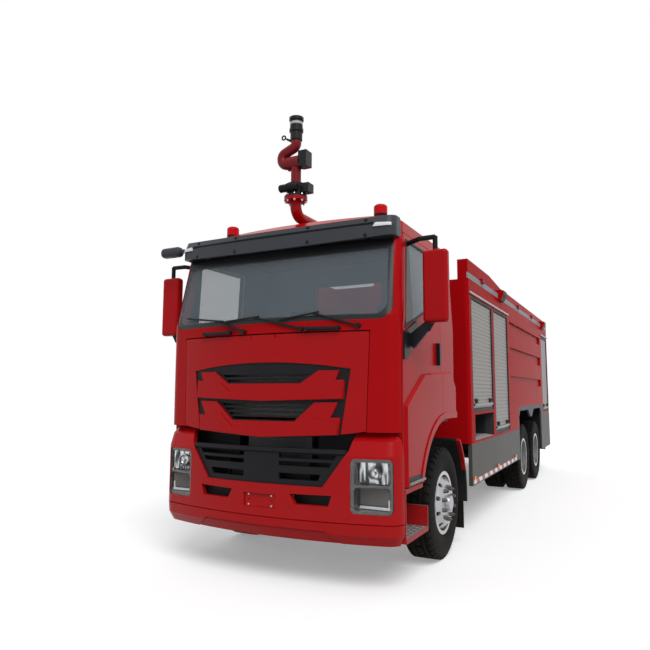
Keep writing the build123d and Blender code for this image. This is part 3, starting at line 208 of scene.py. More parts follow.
class Shader(Tree):
    """The node tree of one finish."""

    def __init__(self, name: str) -> None:
        """Start an empty material with a given name."""
        self.material = bpy.data.materials.new(name)
        self.material.use_nodes = True
        super().__init__(self.material.node_tree)
        self.place = self.node("ShaderNodeTexCoord", out="Object")
        self.x, self.y, self.z = (
            self.node("ShaderNodeSeparateXYZ", {}, {0: self.place}, out=axis) for axis in "XYZ")

    def noise(self, scale: float, detail: float = 2.0, stretch: Point = (1.0, 1.0, 1.0)) -> Value:
        """Return a noise of 0 to 1 over the piece.

        Args:
            scale: Cells per metre.
            detail: Octaves.
            stretch: Scale along each axis.

        Returns:
            The noise.
        """
        place = self.node("ShaderNodeMapping", {}, {"Vector": self.place, "Scale": stretch})
        return self.node("ShaderNodeTexNoise", {}, {"Vector": place, "Scale": scale, "Detail": detail},
                         out="Fac")

    def blend(self, factor: "Value | float", first: "Value | Colour", second: "Value | Colour") -> Value:
        """Return first, turned into second by a factor."""
        a, b = (c if isinstance(c, Value) else (*c, 1.0) for c in (first, second))
        return self.node("ShaderNodeMix", {"data_type": "RGBA"}, {0: factor, 6: a, 7: b}, out=2)

    def lean(self, axis: str) -> Value:
        """Return how far each face looks along an axis, from -1 to 1."""
        normal = self.node("ShaderNodeNewGeometry", {}, {}, out="Normal")
        return self.node("ShaderNodeSeparateXYZ", {}, {0: normal}, out=axis)

    def bump(self, height: Value, strength: float, depth: float) -> Value:
        """Return a normal that follows a height."""
        return self.node("ShaderNodeBump", {}, {"Height": height, "Strength": strength, "Distance": depth})

    def surface(self, sockets: dict) -> bpy.types.Material:
        """Finish the tree with one principled surface.

        Args:
            sockets: Values or links of the surface's sockets by name.

        Returns:
            The material.
        """
        face = self.node("ShaderNodeBsdfPrincipled", {}, sockets)
        self.node("ShaderNodeOutputMaterial", {}, {"Surface": face})
        return self.material


Layer = Callable[[Shader, Value], Value]


@dataclass(frozen=True)
class Glazing:
    """Window glass, see-through but for the black border baked on round the windscreen and a black band of painted
    shade across its top, where the visor shades it.
    """

    name: str = "window_glass"
    colour: Colour = (0.14, 0.185, 0.215)
    pale: Colour = (0.2, 0.25, 0.28)
    # painted reflection: a paler colour for the side windows, as the bright sky mirrored in them
    side_colour: Colour = (0.42, 0.48, 0.52)
    clear: float = 0.32
    border: float = 0.048
    corner: float = 0.11
    half_width: float = 1.176
    lean_from: float = 2.375
    lean: float = 0.0644
    bottom: float = 2.255
    # the height above which the windscreen is painted black, as the visor's shade
    header: float = 2.858
    header_bow: float = 0.03

    def make(self) -> bpy.types.Material:
        """Mix the glass.

        Returns:
            The glass as a material.
        """
        s = Shader(self.name)
        edge = self.half_width - self.border - s.math("MAXIMUM", s.z - self.lean_from, 0.0) * self.lean
        foot = self.bottom + self.border
        rim = s.math("MAXIMUM", (abs(s.x) - edge).over(0.0, 0.006), (foot - s.z).over(0.0, 0.006))
        across = s.math("MAXIMUM", abs(s.x) - (edge - self.corner), 0.0)
        down = s.math("MAXIMUM", foot + self.corner - s.z, 0.0)
        rounded = (across * across + down * down).over(self.corner ** 2, 0.002)
        # Painted shade: the windscreen turns black above this bowed line, as under the visor.
        header = (s.z - s.x * s.x * self.header_bow).over(self.header, 0.01)
        front = 1 - s.y.over(y_at(0.6))
        # black for the baked-on border and for the painted shade band at the top
        border_and_shade = s.math("MAXIMUM", s.math("MAXIMUM", rim, rounded), header) * front
        # Painted reflection: the side windows take a paler colour than the windscreen.
        side = abs(s.x).over(1.12) * s.y.over(y_at(0.3))
        tint = s.blend(s.noise(0.5, 2.0, (1.0, 1.0, 0.4)), self.colour, self.pale)
        tint = s.blend(side, tint, self.side_colour)
        return s.surface({
            "Base Color": s.blend(border_and_shade, tint, BLACK),
            "Roughness": border_and_shade * 0.3 + 0.03,
            "Alpha": border_and_shade * (1 - self.clear) + self.clear,
            "Specular IOR Level": 0.3,
        })


@dataclass(frozen=True)
class Finish:
    """One finish: a colour that drifts a little, some dirt low down and a fine grain."""

    name: str
    colour: Colour
    roughness: float = 0.4
    metallic: float = 0.0
    coat: float = 0.0
    gloss: float = 0.5
    drift: float = 0.08
    drift_scale: float = 2.5
    grain: float = 0.1
    grain_scale: float = 300.0
    grain_stretch: Point = (1.0, 1.0, 1.0)
    dust: float = 0.0
    alpha: float = 1.0
    glow: float = 0.0
    layers: tuple[Layer, ...] = ()

    def make(self) -> bpy.types.Material:
        """Mix the finish.

        Returns:
            The finish as a material.
        """
        s = Shader(self.name)
        wander = s.noise(self.drift_scale, 3.0)
        fine = s.noise(self.grain_scale, 2.0, self.grain_stretch)
        dark = tuple(c * (1 - self.drift) for c in self.colour)
        light = tuple(min(1.0, c * (1 + self.drift)) for c in self.colour)
        colour = s.blend(wander, dark, light)
        for layer in self.layers:
            colour = layer(s, colour)
        if self.dust:
            low = (DUST_TOP - s.z) * 1.1 * s.noise(7.0, 4.0)
            haze = s.math("MINIMUM", s.math("MAXIMUM", low, 0.0) * self.dust, 1.0)
            colour = s.blend(haze, colour, DUST)
        sockets = {
            "Base Color": colour,
            "Roughness": wander * 0.1 + (self.roughness - 0.05),
            "Metallic": self.metallic,
            "Coat Weight": self.coat,
            "Coat Roughness": 0.06,
            "Specular IOR Level": self.gloss,
            "Alpha": self.alpha,
        }
        if self.grain:
            sockets["Normal"] = s.bump(fine, self.grain, 0.002)
        if self.glow:
            sockets["Emission Color"] = colour
            sockets["Emission Strength"] = self.glow
        return s.surface(sockets)


INSIDE_GREY: Colour = (0.34, 0.33, 0.31)
RED: Colour = (0.41, 0.004, 0.006)
DEEP_RED: Colour = (0.2, 0.007, 0.01)
BLACK: Colour = (0.011, 0.011, 0.013)
STRIPE_GREY: Colour = (0.3, 0.31, 0.32)
WHITE: Colour = (1.0, 1.0, 1.0)
BARE_METAL: Colour = (0.42, 0.41, 0.4)
# the dark bands painted on the lamp reflectors as reflections
REFLECTION_DARK: Colour = (0.05, 0.052, 0.055)
# the painted shade inside the open niches
NICHE_SHADE: Colour = (0.035, 0.035, 0.035)
NICHE_FLOOR: Colour = (0.36, 0.35, 0.34)
CHEQUER_GREY: Colour = (0.17, 0.17, 0.18)
NOZZLE_RING: Colour = (0.5, 0.47, 0.45)
CLEAR_LENS: Colour = (0.72, 0.74, 0.75)
TAIL_RED: Colour = (0.5, 0.01, 0.01)
STROBE_BLUE: Colour = (0.015, 0.035, 0.3)
TAPE_WHITE: Colour = (0.78, 0.78, 0.76)
DUST: Colour = (0.24, 0.19, 0.15)
DUST_TOP = 1.15  # road dust thins out up to this height
STROBES = (3.25, 5.93, 7.42)
WEDGE_LIGHTS = (4.41, 8.78)


def cab_lining(s: Shader, colour: Value) -> Value:
    """Turn the inside of the cab to a pale grey lining.

    Args:
        s: The finish's shader.
        colour: The colour below.

    Returns:
        The colour with the layer on it.
    """
    lean = s.math("MAXIMUM", s.z - WAIST_Z, 0.0)
    inside = (1.203 - abs(s.x) - lean * 0.053).over(0.0)
    bow = s.x * s.x * 0.119 + s.math("MAXIMUM", abs(s.x) - 1.05, 0.0) * 1.2
    behind = (s.y - y_at(0.1) - bow - lean * 0.27).over(0.0)
    ahead = 1 - s.y.over(y_at(1.85))
    return s.blend(inside * behind * ahead * s.z.between(1.42, 3.13), colour, INSIDE_GREY)


def black_header(s: Shader, colour: Value) -> Value:
    """Paint the header between the windscreen and the visor black, as the shade that falls under the visor."""
    front = 1 - s.y.over(y_at(0.62))
    return s.blend(s.z.between(2.86, 3.08) * (1 - abs(s.x).over(1.135)) * front, colour, BLACK)


def beacon_base(s: Shader, colour: Value) -> Value:
    """Give each beacon a black foot."""
    return s.blend(s.z.between(3.28, 3.335), colour, BLACK)


def lift_bars(s: Shader, colour: Value) -> Value:
    """Make the shutters' lift bars bare metal between their black guides."""
    bars = s.math("MAXIMUM", abs(s.x).over(1.2488, 0.001), s.y.over(y_at(9.5806), 0.001))
    return s.blend(bars, colour, BARE_METAL)


def lamp_facets(s: Shader, colour: Value) -> Value:
    """Paint dark and bright bands across the reflector, as reflections in its facets."""
    reflection_bands = s.noise(26.0, 1.0, (1.0, 0.2, 0.25)).over(0.5, 0.22)
    return s.blend(reflection_bands, colour, REFLECTION_DARK)


def fascia_stripe(s: Shader, colour: Value) -> Value:
    """Paint the grey stripe along the top of the body sides."""
    return s.blend(s.z.between(3.0, 3.07) * abs(s.x).over(1.235), colour, STRIPE_GREY)


def niche_floor(s: Shader, colour: Value) -> Value:
    """Paint shade into the open niches, nearly black, and turn their upward-facing floors to bare pale sheet.

    Args:
        s: The finish's shader.
        colour: The colour below.

    Returns:
        The colour with the layer on it.
    """
    opening = s.z.between(1.06, 1.375) * s.y.between(y_at(2.725), y_at(3.805))
    inside = (1 - abs(s.x).over(1.246)) * opening
    # Painted shade: the walls and back of each niche turn nearly black.
    dark = s.blend(inside, colour, NICHE_SHADE)
    return s.blend(inside * s.lean("Z").over(0.6, 0.1), dark, NICHE_FLOOR)


def tread_plates(s: Shader, colour: Value) -> Value:
    """Turn the tops of the steps to grey chequer plate."""
    return s.blend(s.lean("Z").over(0.9, 0.05), colour, CHEQUER_GREY)


def mirror_housing(s: Shader, colour: Value) -> Value:
    """Paint the mirror boxes red, all but the black rim at the glass."""
    box = abs(s.x).over(1.36) * s.y.between(y_at(0.42), y_at(0.498)) * s.z.between(2.228, 2.875)
    return s.blend(box, colour, RED)


def monitor_neck(s: Shader, colour: Value) -> Value:
    """Paint the swan neck red below the nozzle and a pale ring near the nozzle's mouth."""
    ringed = s.blend(s.z.between(4.362, 4.388), colour, NOZZLE_RING)
    return s.blend(1 - s.z.over(4.19), ringed, DEEP_RED)


def monitor_gear(s: Shader, colour: Value) -> Value:
    """Turn the turning gear and the drive boxes black.

    Args:
        s: The finish's shader.
        colour: The colour below.

    Returns:
        The colour with the layer on it.
    """
    gear = s.z.between(3.59, 3.735)
    drive = s.x.over(0.056) * s.z.over(3.85)
    return s.blend(s.math("MAXIMUM", gear, drive), colour, BLACK)


def lamp_colours(s: Shader, colour: Value) -> Value:
    """Make the visor's lamps clear and the tail lamps red."""
    clear = s.blend(s.z.over(2.5) * (1 - s.y.over(-3.0)), colour, CLEAR_LENS)
    return s.blend(s.y.over(4.5), clear, TAIL_RED)


def strobe_colours(s: Shader, colour: Value) -> Value:
    """Make the rear half of each strobe blue, its middle black, and the wedge lights' bodies black.

    Args:
        s: The finish's shader.
        colour: The colour below.

    Returns:
        The colour with the layer on it.
    """
    for station in STROBES:
        colour = s.blend(s.y.between(y_at(station), y_at(station + 0.06)), colour, STROBE_BLUE)
        colour = s.blend(s.y.between(y_at(station - 0.012), y_at(station + 0.012)), colour, BLACK)
    for station in WEDGE_LIGHTS:
        body = s.y.between(y_at(station - 0.13), y_at(station + 0.13)) * s.lean("Y").over(-0.4, 0.1)
        colour = s.blend(body, colour, BLACK)
    return colour


def guard_edge(s: Shader, colour: Value) -> Value:
    """Paint the outer edge of the front guards red."""
    edge = abs(s.x).over(1.2) * s.y.between(y_at(1.9), y_at(2.6)) * s.z.over(0.78)
    return s.blend(edge, colour, RED)


def tape_blocks(s: Shader, colour: Value) -> Value:
    """Make the tape white in every other block."""
    block = s.math("PINGPONG", s.x + s.y + s.z + 20.0, 0.15).over(0.075, 0.002)
    return s.blend(block, colour, TAPE_WHITE)


FINISHES: dict[str, Finish] = {f.name: f for f in (
    Finish("paint_red", RED, 0.24, gloss=0.12, drift=0.05, grain=0.01, grain_scale=420.0, dust=0.05),
    # The cab's paint carries the inside lining and painted shade under the visor.
    Finish("cab_red", RED, 0.24, gloss=0.05, drift=0.05, grain=0.01, grain_scale=420.0, dust=0.04,
           layers=(cab_lining, black_header)),
    # The body's paint carries painted shade inside the open niches.
    Finish("body_red", RED, 0.24, gloss=0.004, drift=0.05, grain=0.01, grain_scale=420.0, dust=0.06,
           layers=(niche_floor, fascia_stripe)),
    Finish("step_red", RED, 0.3, gloss=0.05, drift=0.05, grain=0.02, dust=0.2, layers=(tread_plates,)),
    Finish("pipe_red", RED, 0.3, gloss=0.12, drift=0.06, grain=0.02),
    Finish("paint_grey", (0.085, 0.081, 0.074), 0.42, gloss=0.05, drift=0.1, grain=0.05, dust=0.12),
    Finish("arch_grey", (0.07, 0.076, 0.084), 0.42, gloss=0.05, drift=0.1, grain=0.05, dust=0.12),
    Finish("chassis_black", (0.012, 0.012, 0.013), 0.55, gloss=0.15, drift=0.25, grain=0.2, dust=0.2),
    Finish("engine_grey", (0.05, 0.05, 0.05), 0.5, metallic=0.5, drift=0.25, grain=0.2, dust=0.2),
    Finish("black_plastic", BLACK, 0.42, gloss=0.12, drift=0.15, grain=0.25, grain_scale=900.0, dust=0.04),
    Finish("mirror_mix", BLACK, 0.3, gloss=0.1, drift=0.1, grain=0.03, layers=(mirror_housing,)),
    Finish("guard_mix", BLACK, 0.5, gloss=0.1, drift=0.2, grain=0.2, dust=0.12, layers=(guard_edge,)),
    Finish("trim_grey", (0.1, 0.1, 0.105), 0.55, gloss=0.2, drift=0.1, grain=0.3, grain_scale=700.0),
    Finish("visor_dark", (0.05, 0.053, 0.061), 0.3, gloss=0.12, drift=0.1, grain=0.04),
    Finish("lamp_chrome", (0.13, 0.122, 0.113), 0.24, metallic=0.8, drift=0.2, drift_scale=14.0, grain=0.05),
    # The reflectors carry painted reflections: dark and bright bands across the facets.
    Finish("lamp_mirror", (0.75, 0.76, 0.77), 0.1, metallic=1.0, drift=0.1, drift_scale=30.0, grain=0.02,
           layers=(lamp_facets,)),
    Finish("lamp_clear", (0.2, 0.21, 0.22), 0.05, gloss=0.2, drift=0.02, grain=0.0, alpha=0.07),
    Finish("lamp_frost", (0.14, 0.128, 0.113), 0.35, gloss=0.2, drift=0.25, drift_scale=16.0, grain=0.1),
    Finish("lamp_red", (0.55, 0.004, 0.008), 0.15, gloss=0.1, drift=0.1, grain=0.1, grain_scale=90.0,
           glow=0.05, layers=(beacon_base,)),
    Finish("strobes", (0.4, 0.005, 0.005), 0.2, gloss=0.01, drift=0.1, grain=0.1, layers=(strobe_colours,)),
    Finish("lamp_amber", (0.65, 0.17, 0.01), 0.15, gloss=0.2, drift=0.1, grain=0.1, layers=(lamp_colours,)),
    Finish("seat_cloth", (0.05, 0.052, 0.058), 0.9, gloss=0.2, drift=0.25, drift_scale=9.0, grain=0.5,
           grain_scale=650.0),
    Finish("shutter_metal", (0.27, 0.256, 0.24), 0.42, metallic=0.4, gloss=0.1, drift=0.1, grain=0.12,
           grain_scale=60.0, grain_stretch=(1.0, 0.1, 12.0)),
    Finish("guide_black", (0.01, 0.01, 0.011), 0.45, gloss=0.08, drift=0.15, grain=0.1, layers=(lift_bars,)),
    Finish("neck_mix", BLACK, 0.36, gloss=0.2, drift=0.12, grain=0.06, layers=(monitor_neck,)),
    Finish("swivel_mix", DEEP_RED, 0.3, gloss=0.2, drift=0.06, grain=0.05, layers=(monitor_gear,)),
    Finish("tyre_rubber", (0.0085, 0.0082, 0.008), 0.75, gloss=0.06, drift=0.3, drift_scale=6.0, grain=0.25,
           dust=0.08),
    Finish("wheel_silver", (0.5, 0.5, 0.5), 0.28, metallic=0.85, drift=0.12, grain=0.05, dust=0.25),
    Finish("wheel_polish", (0.42, 0.43, 0.45), 0.34, metallic=0.95, drift=0.2, drift_scale=7.0, grain=0.04,
           dust=0.2),
    Finish("nut_steel", (0.1, 0.095, 0.09), 0.45, metallic=0.7, drift=0.3, drift_scale=20.0, grain=0.2),
    Finish("bolt_steel", (0.5, 0.5, 0.51), 0.35, metallic=0.9, drift=0.15, grain=0.1),
    Finish("rail_pale", (0.42, 0.42, 0.41), 0.4, metallic=0.4, gloss=0.2, drift=0.08, grain=0.08),
    Finish("tread_grey", (0.24, 0.235, 0.225), 0.5, metallic=0.3, gloss=0.2, drift=0.15, drift_scale=12.0,
           grain=0.3),
    Finish("tape", (0.42, 0.008, 0.01), 0.3, gloss=0.2, drift=0.05, grain=0.15, grain_scale=180.0,
           layers=(tape_blocks,)),
    Finish("lamp_white", (0.85, 0.87, 0.89), 0.1, coat=0.5, drift=0.03, grain=0.05),
    Finish("mirror_glass", (0.82, 0.83, 0.84), 0.04, metallic=1.0, drift=0.02, grain=0.0),
)}

NODE_FINISH: dict[str, str] = {
    "cab_shell": "cab_red", "door_left": "cab_red", "door_right": "cab_red", "cab_steps": "step_red",
    "locker_front": "body_red", "tank_section": "body_red", "locker_rear": "body_red",
    "roof_parapets": "body_red",
    "mirror_left": "mirror_mix", "mirror_right": "mirror_mix", "mudguards": "guard_mix",
    "monitor_barrel": "neck_mix", "monitor_swivel": "swivel_mix", "side_lamps": "strobes",
    "roof_pipe": "pipe_red",
}


class Paintshop:
    """Makes each finish once and gives it to pieces."""

    def __init__(self) -> None:
        """Start with no finish mixed."""
        self.mixed: dict[str, bpy.types.Material] = {}

    def get(self, name: str) -> bpy.types.Material:
        """Look a finish up, and make it at its first use.

        Args:
            name: The finish's name.

        Returns:
            The finish as a material.
        """
        if name not in self.mixed:
            self.mixed[name] = (Glazing() if name == Glazing.name else FINISHES[name]).make()
        return self.mixed[name]

    def coat(self, piece: bpy.types.Object, name: str) -> None:
        """Give one piece a finish in place of what it has."""
        piece.data.materials.clear()
        piece.data.materials.append(self.get(name))

    def coat_nodes(self) -> None:
        """Give every CAD node the finish of its slot, or its own one."""
        slots = {row["node"]: row["material_slot"] for row in frame["record"]["subparts"]}
        for name, node in frame["nodes"].items():
            self.coat(node, NODE_FINISH.get(name, slots[name]))


class Bench:
    """Modelling steps done with operators, one piece at a time."""

    @staticmethod
    def done() -> None:
        """Leave edit mode."""
        bpy.ops.object.mode_set(mode="OBJECT")

    @classmethod
    def clear(cls) -> None:
        """Leave edit mode if need be and deselect everything."""
        if bpy.context.object and bpy.context.object.mode != "OBJECT":
            cls.done()
        bpy.ops.object.select_all(action="DESELECT")

    @classmethod
    def take(cls, piece: bpy.types.Object) -> None:
        """Select one piece alone and make it the active one.

        Args:
            piece: The piece to work on.
        """
        cls.clear()
        piece.select_set(True)
        bpy.context.view_layer.objects.active = piece

    @staticmethod
    def push(move: Point | Vector) -> None:
        """Extrude what is selected by a move."""
        bpy.ops.mesh.extrude_region_move(TRANSFORM_OT_translate={"value": move})

    @staticmethod
    def named(name: str) -> bpy.types.Object:
        """Name the newest primitive and put its place into its mesh.

        Args:
            name: The piece's name.

        Returns:
            The piece.
        """
        piece = bpy.context.object
        piece.name = name
        piece.data.name = name
        bpy.ops.object.transform_apply(location=True, rotation=True, scale=True)
        return piece

    @classmethod
    def block(cls, name: str, low: Point, high: Point, bevel: float = 0.0, segments: int = 2) -> bpy.types.Object:
        """Model a block with rounded edges.

        Args:
            name: The piece's name.
            low: Its lowest corner.
            high: Its highest corner.
            bevel: The width of the rounding.
            segments: The steps of the rounding.

        Returns:
            The piece.
        """
        cls.clear()
        a, b = Vector(low), Vector(high)
        bpy.ops.mesh.primitive_cube_add(size=1, location=(a + b) / 2, scale=b - a)
        piece = cls.named(name)
        if bevel:
            cls.modify(piece, "BEVEL", width=bevel, segments=segments, limit_method="ANGLE")
        return piece

    @classmethod
    def shape(cls, piece: bpy.types.Object, test: FaceTest) -> None:
        """Enter edit mode with some faces selected.

        Args:
            piece: The piece to edit.
            test: Tells from a face's centre and normal whether it is selected.
        """
        cls.take(piece)
        bpy.ops.object.mode_set(mode="EDIT")
        bpy.ops.mesh.select_mode(type="FACE")
        bpy.ops.mesh.select_all(action="DESELECT")
        cls.done()
        for face in piece.data.polygons:
            face.select = bool(test(face.center, face.normal))
        bpy.ops.object.mode_set(mode="EDIT")

    @classmethod
    def modify(cls, piece: bpy.types.Object, kind: str, **settings: object) -> None:
        """Add one modifier and apply it.

        Args:
            piece: The piece to change.
            kind: The modifier's type.
            settings: The modifier's attributes.
        """
        cls.take(piece)
        modifier = piece.modifiers.new(kind.lower(), kind)
        for key, value in settings.items():
            setattr(modifier, key, value)
        bpy.ops.object.modifier_apply(modifier=modifier.name)

    @classmethod
    def draw(cls, name: str, points: Sequence[Point | Vector]) -> bpy.types.Object:
        """Draw a line of edges through points and stay in edit mode with it selected.

        Args:
            name: The piece's name.
            points: The line's points in order.

        Returns:
            The piece.
        """
        cls.clear()
        spots = [Vector(p) for p in points]
        bpy.ops.mesh.primitive_plane_add(size=0.001, location=spots[0])
        piece = cls.named(name)
        bpy.ops.object.mode_set(mode="EDIT")
        bpy.ops.mesh.select_mode(type="VERT")
        bpy.ops.mesh.merge(type="CENTER")
        for start, end in zip(spots, spots[1:]):
            cls.push(end - start)
        bpy.ops.mesh.select_all(action="SELECT")
        return piece

    @classmethod
    def lathe(cls, name: str, profile: Sequence[Range], centre: Point, axis: Point, steps: int) -> bpy.types.Object:
        """Spin a profile round an axis.

        Args:
            name: The piece's name.
            profile: Pairs of distance along the axis and radius.
            centre: A point on the axis, from which the distances count.
            axis: The direction of the axis.
            steps: The number of steps in the turn.

        Returns:
            The piece.
        """
        middle, along = Vector(centre), Vector(axis).normalized()
        out = along.orthogonal().normalized()
        piece = cls.draw(name, [middle + along * a + out * r for a, r in profile])
        bpy.ops.mesh.spin(steps=steps, angle=2 * math.pi, center=middle, axis=along)
        bpy.ops.mesh.select_all(action="SELECT")
        bpy.ops.mesh.remove_doubles(threshold=1e-5)
        bpy.ops.mesh.normals_make_consistent(inside=False)
        cls.done()
        return piece

    @classmethod
    def strip(cls, name: str, line: Sequence[Point], drop: float, thick: float) -> bpy.types.Object:
        """Model a strip of even thickness that hangs from a line.

        Args:
            name: The piece's name.
            line: The points of the top edge.
            drop: The strip's height.
            thick: The strip's thickness.

        Returns:
            The piece.
        """
        piece = cls.draw(name, line)
        bpy.ops.mesh.select_mode(type="EDGE")
        bpy.ops.mesh.extrude_edges_move(TRANSFORM_OT_translate={"value": (0.0, 0.0, -drop)})
        cls.done()
        cls.modify(piece, "SOLIDIFY", thickness=thick, offset=0.0)
        cls.smooth(piece)
        return piece

    @classmethod
    def seal(cls, name: str, points: Sequence[Point], width: float, thick: float) -> bpy.types.Object:
        """Model a flat rubber frame whose outer edge runs through points.

        Args:
            name: The piece's name.
            points: The corners of the outer edge.
            width: The frame's width.
            thick: The frame's thickness.

        Returns:
            The piece.
        """
        piece = cls.draw(name, points)
        bpy.ops.mesh.edge_face_add()
        bpy.ops.mesh.inset(thickness=width)
        bpy.ops.mesh.delete(type="FACE")
        cls.done()
        cls.modify(piece, "SOLIDIFY", thickness=thick, offset=0.0)
        cls.modify(piece, "BEVEL", width=thick * 0.3, segments=2, limit_method="ANGLE")
        cls.smooth(piece)
        return piece

    @classmethod
    def copies(cls, piece: bpy.types.Object, places: Sequence[Matrix], name: str) -> bpy.types.Object:
        """Copy a piece to each place, drop the first one and join the copies.

        Args:
            piece: The piece to copy, modelled at the origin.
            places: A matrix for each copy.
            name: The name of the joined piece.

        Returns:
            The joined piece.
        """
        made = []
        for place in places:
            twin = piece.copy()
            twin.data = piece.data.copy()
            twin.data.transform(place)
            if place.determinant() < 0:
                twin.data.flip_normals()
            bpy.context.scene.collection.objects.link(twin)
            made.append(twin)
        bpy.data.objects.remove(piece)
        return cls.join(made, name)

    @classmethod
    def join(cls, pieces: Sequence[bpy.types.Object], name: str) -> bpy.types.Object:
        """Join pieces into one and name it.

        Args:
            pieces: The pieces, of which the first takes in the rest.
            name: The name of the joined piece.

        Returns:
            The joined piece.
        """
        cls.take(pieces[0])
        for piece in pieces:
            piece.select_set(True)
        if len(pieces) > 1:
            bpy.ops.object.join()
        pieces[0].name = name
        pieces[0].data.name = name
        return pieces[0]

    @classmethod
    def smooth(cls, piece: bpy.types.Object, degrees: float = 35.0) -> None:
        """Shade a piece smooth up to an angle."""
        cls.take(piece)
        bpy.ops.object.shade_smooth_by_angle(angle=math.radians(degrees))


@dataclass
class Fitter:
    """Hands finished pieces to the model: finish and body."""

    paint: Paintshop
    count: int = 0

    def fit(self, piece: bpy.types.Object, body: str, finish: str, slot: str, replaces: Sequence[str] = ()) -> None:
        """Dress a piece and let it ride on a body.

        Args:
            piece: The finished mesh.
            body: The CAD body that carries it.
            finish: The finish that it shows.
            slot: The record's material slot; not used.
            replaces: CAD nodes that it stands for.
        """
        self.paint.coat(piece, finish)
        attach(piece, body)
        if replaces:
            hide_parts(*replaces)
        self.count += 1
        LOG.info("%s rides on %s in %s", piece.name, body, finish)


@dataclass(frozen=True)
class Bolt:
    """A hexagon bolt or nut with a washer under it and a rounded end."""

    across: float
    height: float
    washer: float
    crown: float = 0.16
    end: float = 0.45
    flare: float = 1.25

    def model(self) -> bpy.types.Object:
        """Model the bolt.

        Returns:
            The bolt at the origin, standing on Z = 0.
        """
        Bench.clear()
        bpy.ops.mesh.primitive_cylinder_add(vertices=6, radius=self.across / 2, depth=self.height,
                                            location=(0, 0, self.washer + self.height / 2))
        piece = Bench.named("bolt")
        Bench.shape(piece, lambda c, n: n.z > FACING)
        bpy.ops.mesh.inset(thickness=self.across * self.crown)
        Bench.push((0, 0, self.height * self.end))
        Bench.shape(piece, lambda c, n: n.z < -FACING)
        bpy.ops.transform.resize(value=(self.flare, self.flare, 1))
        Bench.push((0, 0, -self.washer))
        Bench.done()
        return piece


def standing(place: Point, axis: Point) -> Matrix:
    """Return the place of a bolt that stands on a point along an axis."""
    turn = Vector((0, 0, 1)).rotation_difference(Vector(axis))
    return Matrix.Translation(place) @ turn.to_matrix().to_4x4()


def ring(centre: Point, axis: Point, circle: float, count: int, start: float = 0.5) -> list[Matrix]:
    """Spread places round a circle.

    Args:
        centre: The circle's centre.
        axis: The circle's axis, along X or along Z.
        circle: The circle's radius.
        count: The number of places.
        start: Where the first place lies, in steps.

    Returns:
        The places, each standing along the axis.
    """
    x, y, z = centre
    places = []
    for step in range(count):
        turn = 2 * math.pi * (step + start) / count
        a, b = circle * math.cos(turn), circle * math.sin(turn)
        places.append(standing((x, y + a, z + b) if axis[0] else (x + a, y + b, z), axis))
    return places


@dataclass
class TyreDress:
    """A road tyre with ribs, cut shoulders and ringed side walls."""

    radius: float = 0.542
    tread: float = 0.25
    grooves: tuple[float, ...] = (0.036, 0.084)
    groove: float = 0.014
    groove_top: float = 0.007
    groove_foot: float = 0.005
    wall: tuple[Range, ...] = (
        (0.137, 0.512), (0.139, 0.505), (0.143, 0.49), (0.1475, 0.462), (0.1495, 0.43), (0.1495, 0.418),
        (0.1475, 0.414), (0.1485, 0.405), (0.1475, 0.385), (0.144, 0.36), (0.142, 0.356), (0.1405, 0.348),
        (0.136, 0.33), (0.13, 0.318), (0.122, 0.309), (0.1185, 0.3055))
    shoulder: Range = (0.091, 0.137)
    shoulder_from: float = 0.515
    rib: float = 0.029
    rib_from: float = 0.535
    cut_edge: float = 0.0015
    cut_depth: float = 0.011
    steps: int = 120

    def profile(self) -> list[Range]:
        """Work out the tyre's section.

        Returns:
            The section from bead to bead as pairs of place across and radius.
        """
        r, edge = self.radius, self.tread / 2
        half: list[Range] = []
        for centre in self.grooves:
            half += [(centre - self.groove_top, r), (centre - self.groove_foot, r - self.groove),
                     (centre + self.groove_foot, r - self.groove), (centre + self.groove_top, r)]
        half += [(edge - 0.004, r - 0.001), (edge, r - 0.006), *self.wall]
        return [(-a, b) for a, b in reversed(half)] + half

    def model(self, name: str, side: Side, station: float, x: float) -> bpy.types.Object:
        """Model one tyre.

        Args:
            name: The piece's name.
            side: The side of the truck.
            station: The axle's station.
            x: The tyre's middle plane, from the middle of the truck.

        Returns:
            The tyre.
        """
        centre = Vector((side.value * x, y_at(station), HUB_Z))
        piece = Bench.lathe(name, self.profile(), centre, (1, 0, 0), self.steps)

        def is_cut(c: Vector, n: Vector) -> bool:
            """Tell whether a face lies in a cross cut of the tread."""
            up, back = c.z - centre.z, c.y - centre.y
            step = round(math.atan2(up, back) / (2 * math.pi) * self.steps - 0.5)
            across, far = abs(c.x - centre.x), math.hypot(up, back)
            shoulder = self.shoulder[0] < across < self.shoulder[1] and far > self.shoulder_from and step % 3 == 0
            return shoulder or (across < self.rib and far > self.rib_from and step % 6 == 1)

        Bench.shape(piece, is_cut)
        bpy.ops.mesh.inset(thickness=self.cut_edge, depth=-self.cut_depth)
        Bench.done()
        Bench.smooth(piece, 28)
        return piece


@dataclass
class WheelNuts:
    """The ring of nuts that holds a wheel."""

    nut: Bolt = Bolt(0.036, 0.026, 0.004)
    count: int = 10
    front_circle: float = 0.155
    front_seat: float = 0.168
    rear_circle: float = 0.1525
    rear_seat: float = 0.015 - TWIN_PITCH / 2

    def model(self, name: str, side: Side, station: float, seat: float, circle: float) -> bpy.types.Object:
        """Model a ring of nuts on a wheel's disc.

        Args:
            name: The piece's name.
            side: The side of the truck.
            station: The axle's station.
            seat: The disc's face, from the outer tyre's middle plane.
            circle: The radius of the ring.

        Returns:
            The nuts.
        """
        centre = (side.value * (WHEEL_X + seat), y_at(station), HUB_Z)
        places = ring(centre, (side.value, 0.0, 0.0), circle, self.count)
        return Bench.copies(self.nut.model(), places, name)


